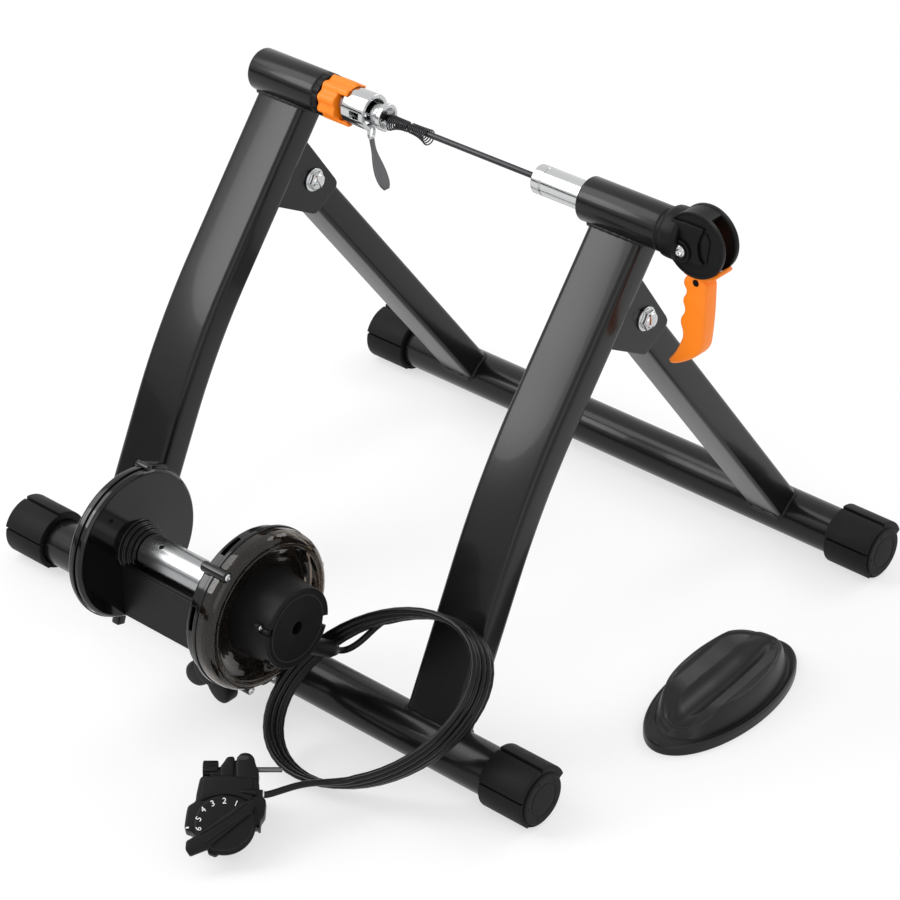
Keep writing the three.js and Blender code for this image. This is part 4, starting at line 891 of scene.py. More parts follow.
@dataclass
class LevellingCap(Assembly):
    """A stepped rubber cap: five wall sectors, each thicker than the last, round a face disc.

    Its node and its body have the same name, and side is 1 at the right end of a bar and -1 at the left.
    """

    slot: Slot = Slot.RUBBER
    side: int = 1
    thinnest: float = 0.0215
    wall: float = 0.0023
    wall_edge: float = 0.0007
    sectors: int = 5
    sector_step: float = 0.0011
    sector_share: float = 0.93
    slot_depth: float = 0.0008
    face_inset: float = 0.0018
    face_depth: float = 0.005
    face_gap: float = 0.0004
    face_round: Pair = (0.0006, 0.0012)
    ring_radius: float = 0.0125
    groove: float = 0.0006
    fine_edge: float = 0.0003
    mark_turn: float = 0.3
    mark_radius: float = 0.0162
    mark_length: float = 0.0026
    mark_width: float = 0.0007
    mark_span: Pair = (-0.0006, 0.0003)

    def outline(self) -> list[Pair]:
        """The sectors' outer line."""
        pitch = TURN / self.sectors
        valley = self.thinnest - self.slot_depth
        points: list[Pair] = []
        for sector in range(self.sectors):
            centre = -pi / 2 + (sector - 1) * pitch
            radius = self.thinnest + ((2 - sector) % self.sectors) * self.sector_step
            half = pitch / 2 * self.sector_share
            points.append((valley * cos(centre - pitch / 2), valley * sin(centre - pitch / 2)))
            points += arc((0, 0), radius, centre - half, centre + half, 14)
        return points

    def place(self) -> Matrix:
        """The middle of the cap's face, with X outwards."""
        low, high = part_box(self.body)
        bar = self.datums.bar if self.body.startswith("rear") else self.datums.front_bar
        outer = high.x if self.side > 0 else low.x
        return Matrix.Translation((outer, bar.y, bar.z)) @ Matrix.Scale(self.side, 4, (1, 0, 0))

    def build(self) -> None:
        """Makes the wall, the face with its ring, and the marks that name the sectors."""
        low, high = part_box(self.body)
        bore = arc((0, 0), self.thinnest - self.wall, 0, TURN, MEDIUM)[:-1]
        wall = plate(
            f"{self.body}_wall", [self.outline(), bore], low.x - high.x, -self.face_inset, self.wall_edge,
            Plane.X)
        self.add(wall, self.body)
        rim = self.thinnest - self.slot_depth - self.face_gap
        back, ring, (round_x, round_r) = -self.face_depth, self.ring_radius, self.face_round
        face = [
            (back, 0), (back, rim), (-round_x, rim), (0, rim - round_r), (0, ring + 2 * self.groove),
            (-self.groove, ring + self.groove), (0, ring), (0, 0)]
        self.add(turned(f"{self.body}_face", face, self.fine_edge))
        mark = rounded(rectangle(self.mark_length / 2, self.mark_width / 2), self.mark_width / 2)
        for k in range(self.sectors):
            turn = Matrix.Rotation(TURN * k / self.sectors + self.mark_turn, 4, "X")
            bar = plate(f"{self.body}_mark_{k + 1}", [mark], *self.mark_span, 0.0001, Plane.X)
            self.add(bar, at=self.place() @ turn @ Matrix.Translation((0, 0, self.mark_radius)))


@dataclass
class BentTube:
    """A rectangular tube with rounded corners that follows a line in a plane across X."""

    name: str
    width: float
    depth: float
    corner: float

    def section(self) -> list[Pair]:
        """The tube's section as (across X, across the line)."""
        return rounded(rectangle(self.width / 2, self.depth / 2), self.corner, steps=5)

    def build(self, x: float, line: Line, normals: Line) -> Piece:
        """Skins the tube.

        Args:
            x: the tube's middle along X.
            line: the centre line as (y, z).
            normals: at each point, the direction of the depth as (y, z).

        Returns:
            The object.
        """
        section = self.section()
        rings = []
        for (y, z), (ny, nz) in zip(line, normals):
            rings.append([Vector((x + a, y + ny * b, z + nz * b)) for a, b in section])
        return loft(self.name, rings)


@dataclass
class FrameTubes(Assembly):
    """Floor bars, bent uprights, folding struts, their welds and the barrels."""

    slot: Slot = Slot.PAINT
    bar_radius: float = 0.019
    barrel_radius: float = 0.017
    upright_width: float = 0.048
    upright_depth: float = 0.026
    upright_corner: float = 0.0055
    foot_angle: float = radians(25.5)
    top_angle: float = radians(37.5)
    foot_setback: float = 0.0023
    top_setback: float = 0.0125
    top_cut: float = 0.006
    bend_length: float = 0.12
    strut_width: float = 0.035
    strut_depth: float = 0.025
    strut_corner: float = 0.004
    strut_head: Line = ((0.3, -0.0141), (0.55, -0.0135), (0.86, -0.009), (1.0, 0.0))
    bead_radius: float = 0.0019
    head_bead: Line = ((0.0, 0.004), (0.0, -0.006), (0.004, -0.0126))
    bar_edge: float = 0.0008
    closed_edge: float = 0.0022
    open_edge: float = 0.0012

    @staticmethod
    def _along(angle: float) -> Vector:
        """The direction up a tube that leans by an angle, as (y, z)."""
        return Vector((sin(angle), cos(angle)))

    @staticmethod
    def _behind(angle: float) -> Vector:
        """The direction square to it, towards the struts."""
        return Vector((cos(angle), -sin(angle)))

    def upright_line(self) -> tuple[list[Pair], list[Pair]]:
        """The upright's centre line and normals, with one gentle bend."""
        d = self.datums
        foot_way, top_way = self._along(self.foot_angle), self._along(self.top_angle)
        foot = Vector((d.bar.y, d.bar.z)) + self._behind(self.foot_angle) * self.foot_setback
        top = Vector((d.axle.y, d.axle.z)) + self._behind(self.top_angle) * self.top_setback
        gap = top - foot
        reach = (gap.x * top_way.y - gap.y * top_way.x) / (foot_way.x * top_way.y - foot_way.y * top_way.x)
        turn = self.top_angle - self.foot_angle
        radius = self.bend_length / 2 / tan(turn / 2)
        start = foot + foot_way * (reach - self.bend_length / 2)
        centre = start + self._behind(self.foot_angle) * radius
        points, normals = [foot], [self._behind(self.foot_angle)]
        for i in range(17):
            angle = self.foot_angle + turn * i / 16
            points.append(centre - self._behind(angle) * radius)
            normals.append(self._behind(angle))
        points.append(top - top_way * self.top_cut)
        normals.append(self._behind(self.top_angle))
        return [(p.x, p.y) for p in points], [(n.x, n.y) for n in normals]

    def foot_bead(
        self, x: float, width: float, depth: float, centre: Vector, way: Vector, back: Vector,
        setback: float
    ) -> list[Vector]:
        """The line where a rectangular tube meets a floor bar.

        Args:
            x: the tube's middle along X.
            width: its width along X.
            depth: its depth.
            centre: the bar's axis as (y, z).
            way: the direction up the tube.
            back: the direction of its depth.
            setback: how far its middle lies from the bar's axis.

        Returns:
            The closed line's points.
        """
        section = BentTube("bead", width, depth, self.upright_corner).section()
        points = []
        for a, b in [*section, section[0]]:
            off = b + setback
            rise = sqrt(max(self.bar_radius**2 - off**2, 0))
            place = centre + back * off + way * rise
            points.append(Vector((x + a, place.x, place.y)))
        return points

    def build(self) -> None:
        """Makes every tube of the frame and of the folding stand."""
        d = self.datums
        for node, body, axis in (("rear_bar", "frame", d.bar), ("front_bar", "stand", d.front_bar)):
            low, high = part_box(node)
            piece = rod(f"{node}_tube", low.x, high.x, self.bar_radius, self.bar_edge, FINE)
            self.add(piece, node, along_x(0, axis.y, axis.z), body)
        for side in ("left", "right"):
            self._upright(side)
            self._strut(side)
        self._barrels()

    def _upright(self, side: str) -> None:
        """Makes one upright with the welds at its foot and head.

        Args:
            side: left or right.
        """
        d = self.datums
        node = f"{side}_upright"
        x = middle(node).x
        maker = BentTube(f"{node}_tube", self.upright_width, self.upright_depth, self.upright_corner)
        self.add(maker.build(x, *self.upright_line()), node)
        foot = self.foot_bead(
            x, self.upright_width, self.upright_depth, Vector((d.bar.y, d.bar.z)),
            self._along(self.foot_angle), self._behind(self.foot_angle), self.foot_setback)
        self.add(weld_bead(f"{node}_foot_weld", foot, self.bead_radius))
        top, back = self._along(self.top_angle), self._behind(self.top_angle)
        half = self.upright_width / 2
        route = [(-half + inset, b) for inset, b in self.head_bead]
        route += [(half - inset, b) for inset, b in reversed(self.head_bead)]
        points = []
        for a, b in route:
            off = b + self.top_setback
            drop = sqrt(max(self.barrel_radius**2 - off**2, 0))
            place = Vector((d.axle.y, d.axle.z)) + back * off - top * drop
            points.append(Vector((x + a, place.x, place.y)))
        self.add(weld_bead(f"{node}_head_weld", points, self.bead_radius))

    def _strut(self, side: str) -> None:
        """Makes one folding strut with the weld at the front bar.

        Args:
            side: left or right.
        """
        d = self.datums
        node = f"{side}_strut"
        x = middle(node).x
        start, end = Vector((d.pivot.y, d.pivot.z)), Vector((d.front_bar.y, d.front_bar.z))
        way = (end - start).normalized()
        back = Vector((-way.y, way.x))
        maker = BentTube(f"{node}_tube", self.strut_width, self.strut_depth, self.strut_corner)
        rings = []
        for share, along in self.strut_head:
            foot = start + way * along
            rings.append([Vector((x + a, *(foot + back * b * share))) for a, b in maker.section()])
        rings.append([Vector((x + a, *(end + back * b))) for a, b in maker.section()])
        self.add(loft(f"{node}_tube", rings), node, body="stand")
        foot = self.foot_bead(x, self.strut_width, self.strut_depth, end, -way, back, 0.0)
        self.add(weld_bead(f"{node}_weld", foot, self.bead_radius), body="stand")

    def _barrels(self) -> None:
        """The closed left barrel and the open right one."""
        place = along_x(0, self.datums.axle.y, self.datums.axle.z)
        low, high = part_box("left_barrel")
        closed = rod("left_barrel_tube", low.x, high.x, self.barrel_radius, self.closed_edge, FINE)
        self.add(closed, "left_barrel", place)
        low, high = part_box("right_barrel")
        bore = radius_of("right_sleeve") + HIDDEN_STEP
        hollow = pipe("right_barrel_tube", low.x, high.x, self.barrel_radius, bore, self.open_edge)
        self.add(hollow, "right_barrel", place)


@dataclass
class PivotHardware(Assembly):
    """The bolts, washers and domed nuts that carry the struts."""

    slot: Slot = Slot.CHROME
    washer_radius: float = 0.0095
    washer_thickness: float = 0.0016
    hex_radius: float = 0.0078
    hex_height: float = 0.0038
    dome_height: float = 0.003
    dome_seat: float = 0.0004
    shank_radius: float = 0.004
    shank_insets: Pair = (0.003, 0.002)

    def build(self) -> None:
        """Makes a nut and a bolt head on each side."""
        for side in ("left", "right"):
            for node, way in ((f"{side}_pivot_nut", 1), (f"{side}_pivot_bolt", -1)):
                self._stack(node, way)

    def _stack(self, node: str, way: int) -> None:
        """Makes one nut or bolt head: a hexagon and its dome, on a washer where it is the nut.

        Args:
            node: the nut's or the bolt's node.
            way: 1 where it faces +X, -1 where it faces -X.
        """
        low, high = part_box(node)
        centre = middle(node)
        at = low.x if way > 0 else low.x + self.hex_height + self.dome_height
        place = Matrix.Translation((at, centre.y, centre.z)) @ Matrix.Scale(way, 4, (1, 0, 0))
        wall = self.washer_thickness if way > 0 else 0.0
        pieces = []
        if way > 0:
            pieces.append(rod(f"{node}_washer", 0, self.washer_thickness, self.washer_radius, 0.0003))
        hexagon = arc((0, 0), self.hex_radius, 0, TURN, 6)[:-1]
        top = wall + self.hex_height
        pieces.append(plate(f"{node}_hex", [hexagon], wall, top, 0.0005, Plane.X))
        seat, height = top - self.dome_seat, self.dome_height
        dome = [(seat, 0), (seat, self.hex_radius * 0.82)]
        dome += [
            (top + height * sin(a), self.hex_radius * 0.8 * cos(a)) for a in (0.2, 0.5, 0.8, 1.1, 1.35)]
        pieces.append(lathe(f"{node}_dome", [*dome, (top + height, 0)], MEDIUM))
        for i, piece in enumerate(pieces):
            self.add(piece, "" if i else node, place)
        if way < 0:
            start, end = self.shank_insets
            shank = rod(f"{node}_shank", low.x + start, high.x - end, self.shank_radius, 0.0003, SMALL)
            self.add(shank, at=along_x(0, centre.y, centre.z))


# Axle clamps


@dataclass
class LeftClamp(Assembly):
    """The orange adjuster, the cup on its stud, the release head with its lever, and the skewer."""

    body: str = "cup"
    slot: Slot = Slot.CHROME
    lobes: int = 9
    scallop: float = 0.0021
    ring_bore: float = 0.0085
    ring_edge: float = 0.0012
    crown_length: float = 0.009
    crown_wall: float = 0.0026
    wing_seat: float = 0.003
    wing_reach: float = radians(43)
    cup_length: float = 0.0225
    cup_bore: float = 0.0112
    cup_floor: float = 0.004
    slot_width: float = 0.012
    thread_pitch: float = 0.0015
    thread_depth: float = 0.0009
    stud_radius: float = 0.008
    collar_radius: float = 0.0122
    head_radius: float = 0.0086
    head_recess: float = 0.007
    head_depth: float = 0.006
    flange_width: float = 0.0045
    lever_widths: tuple[float, ...] = (
        4.6, 4.4, 4.3, 4.4, 5.0, 6.0, 7.4, 8.8, 10.0, 11.0, 11.7, 12.0, 11.8, 11.0, 9.2, 5.6)
    lever_thickness: float = 0.0024
    lever_loop: Triple = (0.0032, 0.0062, 0.00115)
    hinge: Pair = (0.0023, 0.0024)
    spring_wire: float = 0.00055
    spring_curls: int = 10
    spring_hug: float = 0.00325
    spring_radius: float = 0.0062

    def place(self) -> Matrix:
        """The axle's line."""
        return along_x(0, self.datums.axle.y, self.datums.axle.z)

    def build(self) -> None:
        """Makes the pieces from the barrel to the skewer's nut."""
        self._adjuster()
        self._cup()
        self._head()
        self._lever()
        self._skewer()

    def _adjuster(self) -> None:
        """The scalloped ring nut and its two crown wings."""
        low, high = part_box("adjuster_knob")
        radius = radius_of("adjuster_knob") + 0.0002
        crown = high.x - self.crown_length

        def scalloped(_x: float, r: float, angle: float) -> float:
            """Draws the outer radius in between the lobes."""
            if r < radius * 0.9:
                return r
            return r - self.scallop * (0.5 - 0.5 * cos(angle * self.lobes))

        ring = pipe("adjuster_ring", low.x, crown, radius, self.ring_bore, self.ring_edge, 216, scalloped)
        self.add(ring, "adjuster_knob", body="adjuster", slot=Slot.ORANGE)
        for name, centre in (("upper", pi / 2), ("lower", -pi / 2)):
            span = (centre - self.wing_reach, centre + self.wing_reach)
            wing = pipe(
                f"adjuster_wing_{name}", crown - self.wing_seat, high.x, radius, radius - self.crown_wall,
                0.001, 60, scalloped, span)
            self.add(wing, body="adjuster", slot=Slot.ORANGE)

    def _cup(self) -> None:
        """The chrome cup with its lever slot and side windows, on a threaded stud."""
        low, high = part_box("left_cup")
        radius, bore = radius_of("left_cup"), self.cup_bore
        start = high.x - self.cup_length
        floor = start + self.cup_floor
        line = [(start, 0), (start, radius), (high.x, radius), (high.x, bore), (floor, bore), (floor, 0)]
        cup = turned("axle_cup", line, 0.0009)
        half = self.slot_width / 2
        slot = box_tool((floor + 0.004, -half, -0.02), (high.x + 0.01, half, -0.006))
        window = box_tool((floor + 0.005, 0.006, -half / 2), (high.x - 0.004, 0.02, half / 2))
        other = box_tool((floor + 0.005, -0.02, -half / 2), (high.x - 0.004, -0.006, half / 2))
        self.add(carve(cup, slot, window, other), "left_cup")
        pitch, crest = self.thread_pitch, self.stud_radius
        turns = [(low.x + 0.001, 0.0)]
        for i in range(int((start - low.x) / pitch)):
            x = low.x + i * pitch
            turns += [(x, crest - self.thread_depth), (x + pitch / 2, crest)]
        turns += [(start, crest), (start + 0.001, 0.0)]
        self.add(lathe("cup_stud", turns, MEDIUM))
        self.add(rod("cup_collar", start - 0.0024, start + 0.001, self.collar_radius, 0.0009))

    def _head(self) -> None:
        """The release head: a barrel with a flanged, hollow end."""
        low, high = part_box("release_head")
        flange, radius, recess = radius_of("release_head"), self.head_radius, self.head_recess
        shoulder, floor = high.x - self.flange_width, high.x - self.head_depth
        line = [
            (low.x, 0), (low.x, radius), (shoulder - 0.001, radius), (shoulder, flange), (high.x, flange),
            (high.x, recess + 0.0008), (floor, recess - 0.0012), (floor, 0)]
        self.add(turned("release_barrel", line, 0.0008), "release_head")

    def _lever(self) -> None:
        """The release lever: a wire loop on its hinge, a narrow neck and a round-ended paddle."""
        low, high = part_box("release_lever")
        y = middle("release_lever").y
        hinge = Vector((low.x + self.hinge[0], high.z - self.hinge[1]))
        tip = Vector((high.x - 0.0018, low.z))
        half_w, half_l, wire = self.lever_loop
        root = hinge + Vector((-0.0003, -2 * half_l + 0.001))
        bend = Vector((root.x + (tip.x - root.x) * 0.22, (root.y + tip.y) / 2))
        rings = []
        last = len(self.lever_widths) - 1
        for i, width in enumerate(self.lever_widths):
            t = i / last
            at = root.lerp(bend, t).lerp(bend.lerp(tip, t), t)
            heading = (bend - root).lerp(tip - bend, t).normalized()
            across = Vector((-heading.y, heading.x))
            thick = self.lever_thickness / 2 * (1.0 if i < last else 0.5)
            section = rounded(rectangle(width / 2000, thick), thick * 0.9)
            rings.append([Vector((at.x + across.x * v, y + u, at.y + across.y * v)) for u, v in section])
        paddle = loft("release_paddle", rings)
        self.add(paddle, "release_lever", WORLD, "lever", Slot.STEEL, "lever_steel")
        loop = []
        for turn in (TURN * i / 32 for i in range(33)):
            z = hinge.y - half_l + 0.0006 + half_l * cos(turn)
            loop.append(Vector((hinge.x - 0.0003 * (1 - cos(turn)), y + half_w * sin(turn), z)))
        self.add(tube("release_loop", loop, wire, 12), "", WORLD, "lever", Slot.STEEL, "chrome_plate")
        collar = rod("release_lever_neck", -0.0042, 0.0042, 0.0022, 0.0006, SMALL)
        self.add(collar, "", facing_y(hinge.x, y, hinge.y), "lever", Slot.STEEL)

    def _skewer(self) -> None:
        """The rod, its cone nut and the two conical springs."""
        low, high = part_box("skewer_rod")
        bar = rod("skewer_bar", low.x, high.x, radius_of("skewer_rod"), 0.0004)
        self.add(bar, "skewer_rod", body="skewer", slot=Slot.DARK_STEEL)
        low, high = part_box("skewer_nut")
        radius = radius_of("skewer_nut")
        cone = turned(
            "skewer_cone_nut", [(low.x, 0), (low.x, radius), (high.x, radius * 0.7), (high.x, 0)], 0.0007,
            MEDIUM)
        self.add(cone, "skewer_nut", body="skewer", slot=Slot.DARK_STEEL)
        for side, way in (("left", 1), ("right", -1)):
            node = f"skewer_spring_{side}"
            coil = tube(f"{node}_coil", self._cone_helix(node, way), self.spring_wire, 10)
            self.add(coil, node, WORLD, "skewer", Slot.DARK_STEEL)

    def _cone_helix(self, node: str, way: int) -> list[Vector]:
        """A spring's line, which hangs on the rod and narrows away from its wide end.

        Args:
            node: the spring's node.
            way: 1 where it narrows towards +X, -1 where it narrows towards -X.

        Returns:
            The line's points.
        """
        axle = self.datums.axle
        low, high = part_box(node)
        start = low.x + self.spring_wire if way > 0 else high.x - self.spring_wire
        steps, hug, big = self.spring_curls * 24, self.spring_hug, self.spring_radius
        pitch = (high.x - low.x - 2 * self.spring_wire) / self.spring_curls
        points = []
        for i in range(steps + 1):
            share = i / steps
            radius = big + (hug + self.spring_wire - big) * (1 - (1 - share) ** 2.4)
            angle = share * self.spring_curls * TURN
            x = start + way * share * self.spring_curls * pitch
            z = axle.z - (radius - hug) + radius * cos(angle)
            points.append(Vector((x, axle.y + radius * sin(angle), z)))
        return points


@dataclass
class RightClamp(Assembly):
    """The chrome sleeve, the cam housing and the orange handle. Outlines are millimetres from the pin."""

    cap_length: float = 0.0084
    groove: float = 0.0006
    socket: Pair = (0.0086, 0.017)
    cheek_radius: float = 0.025
    cheek_span: float = 0.018
    hump: tuple[float, float, float, float] = (-0.0285, -0.012, 0.0196, 0.0042)
    grip_edge: float = 0.0022
    grip_hole: Triple = (0.001, -0.0305, 0.0027)
    lip_reach: Pair = (0.0033, 0.0005)
    cam_radius: float = 0.0195
    cam_fall: float = 0.003
    cam_half: float = 0.0052
    panel: Line = (
        (-19.7, 15.2), (-5.7, 16.4), (8.8, 16.2), (5.8, 9.5), (3.8, 3.2), (4.1, -2.4), (5.9, -8.6),
        (9.9, -11.3), (-0.3, -16.8), (-9.1, -18.6), (-17.5, -17), (-21.1, -9.1), (-21.1, 5.7))
    crescent: Line = (
        (9.8, 13.6), (7.1, 7.3), (6.8, -0.8), (8.4, -8.1), (11.3, -10.5), (12.4, -2.2), (13.7, 7.3))
    grip: Line = (
        (-7.8, -26.5), (-11.6, -34.5), (-6.6, -40.5), (-11.6, -48), (-7.4, -56.5), (-13.2, -65),
        (-8.6, -75.5), (-11.2, -84), (-15.8, -94), (-22, -102), (-18.8, -104), (-11.8, -101.5), (0.8, -93),
        (7.8, -85), (9.2, -75), (10.4, -55), (10.4, -42), (10.2, -26.2))
    stem: Line = ((-8.6, -28.5), (10.2, -28.5), (10.2, -10), (-8.6, -10))
    screw_bosses: tuple[Triple, ...] = ((0.0085, 0.0018, 0.0), (0.0062, 0.0012, 0.0006))

    def build(self) -> None:
        """Makes the sleeve, dresses the housing and makes the handle."""
        self._sleeve()
        self._housing()
        self._handle()

    def _sleeve(self) -> None:
        """The sliding sleeve with its end cap and socket."""
        axle = self.datums.axle
        low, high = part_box("right_sleeve")
        radius, (socket, depth) = radius_of("right_sleeve"), self.socket
        seam, valley = low.x + self.cap_length, radius - self.groove
        line = [
            (high.x, 0), (high.x, radius), (seam + 0.001, radius), (seam + 0.001, valley), (seam, valley),
            (seam, radius), (low.x, radius), (low.x, socket), (low.x + depth, socket), (low.x + depth, 0)]
        place = along_x(0, axle.y, axle.z)
        self.add(turned("clamp_sleeve", line, 0.0007), "right_sleeve", place, "sleeve", Slot.CHROME)

    def _housing(self) -> None:
        """Raised panel, rims, neck ring and screw on the cam housing."""
        pin, axle = middle("cam_pin"), self.datums.axle
        face = pin.y - self.cheek_span / 2
        for name, outline, height in (("panel", self.panel, 0.0024), ("crescent", self.crescent, 0.0012)):
            line = rounded(from_mm(outline, pin.x, pin.z), 0.0012)
            self.add(plate(f"housing_{name}", [line], face - height, face + 0.001, 0.0006, Plane.Y))
        for name, y in (("front", face), ("back", face + self.cheek_span - 0.002)):
            rim = pipe(
                f"housing_rim_{name}", -0.0008, 0.0028, self.cheek_radius + 0.0004,
                self.cheek_radius - 0.0016, 0.0006)
            self.add(rim, at=facing_y(pin.x, y, pin.z))
        start, end, radius, edge = self.hump
        hump = rod("housing_hump", pin.x + start, pin.x + end, radius, edge, FINE)
        self.add(hump, at=along_x(0, axle.y + 0.0015, axle.z))
        screw = middle("housing_screw")
        for reach, wall, rise in self.screw_bosses:
            boss = pipe(
                f"housing_screw_boss_{round(reach * 1e4)}", -0.0035 - rise, 0.0005, reach, reach - wall,
                0.0006)
            self.add(boss, at=facing_y(screw.x, face - 0.0012, screw.z))
        socket_screw(
            "housing_screw_head", Vector((screw.x, face - 0.0026, screw.z)),
            radius_of("housing_screw") * 1.12, "frame", ("housing_screw",), facing_y)

    def _handle(self) -> None:
        """The handle: cam, lip under the cheeks, and a grip with finger grooves."""
        pin = middle("cam_pin")
        low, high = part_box("cam_handle")

        def part(name: str, line: Line, start: float, end: float, edge: float, **other: str) -> None:
            """Adds one plate of the handle between two places along Y."""
            piece = plate(f"handle_{name}", [line], start, end, edge, Plane.Y)
            self.add(piece, body="handle", slot=Slot.ORANGE, **other)

        grip = smoothed(from_mm(self.grip, pin.x, pin.z))
        part("grip", grip, low.y, high.y, self.grip_edge, stands_for="cam_handle")
        # No hole is cut here: a thin near-black disc stands on the grip's face as the hole's painted shade.
        x, z, radius = self.grip_hole
        hole = arc((pin.x + x, pin.z + z), radius, 0, TURN, SMALL)[:-1]
        part("painted_screw_hole_shade", hole, low.y - 0.0002, low.y + 0.0008, 0.0001, finish="socket_dark")
        outer, inner = (self.cheek_radius + reach for reach in self.lip_reach)
        start, end = -pi * 0.62, -pi * 0.2
        lip = [*arc((pin.x, pin.z), outer, start, end, 20), *arc((pin.x, pin.z), inner, end, start, 20)]
        part("lip", rounded(lip, 0.0009), low.y, high.y, 0.0007)
        spiral = []
        for turn in (TURN * i / 72 for i in range(72)):
            reach = self.cam_radius - self.cam_fall * min(turn, radians(111))
            spiral.append((pin.x - reach * cos(turn), pin.z + reach * sin(turn)))
        half = self.cam_half
        part("cam", spiral, pin.y - half, pin.y + half, 0.0006)
        part("stem", rounded(from_mm(self.stem, pin.x, pin.z), 0.001), pin.y - half, pin.y + half, 0.0006)


def socket_screw(
    name: str, at: Vector, radius: float, body: str, stands_for: Sequence[str],
    placing: Callable[[float, float, float], Matrix], height: float = 0.0028
) -> None:
    """A domed screw head with a hexagonal socket.

    Args:
        name: the piece's name.
        at: where its seat is.
        radius: the head's radius.
        body: the body it rides on.
        stands_for: nodes that it replaces.
        placing: along_x or facing_y; the head faces +X, or -Y.
        height: the head's height.
    """
    line = [(0, 0), (0, radius), (height * 0.6, radius), (height, radius * 0.72), (height, 0)]
    head = turned(name, line, 0.0005, MEDIUM)
    hexagon = arc((0, 0), radius * 0.46, 0, TURN, 6)[:-1]
    carve(head, plate("tool", [hexagon], height * 0.45, height + 0.001, 0.0, Plane.X))
    turn = Matrix.Rotation(pi, 4, "Z") if placing is facing_y else Matrix.Identity(4)
    finish_piece(head, body, Slot.CHROME, stands_for, placing(*at) @ turn)


# Resistance unit


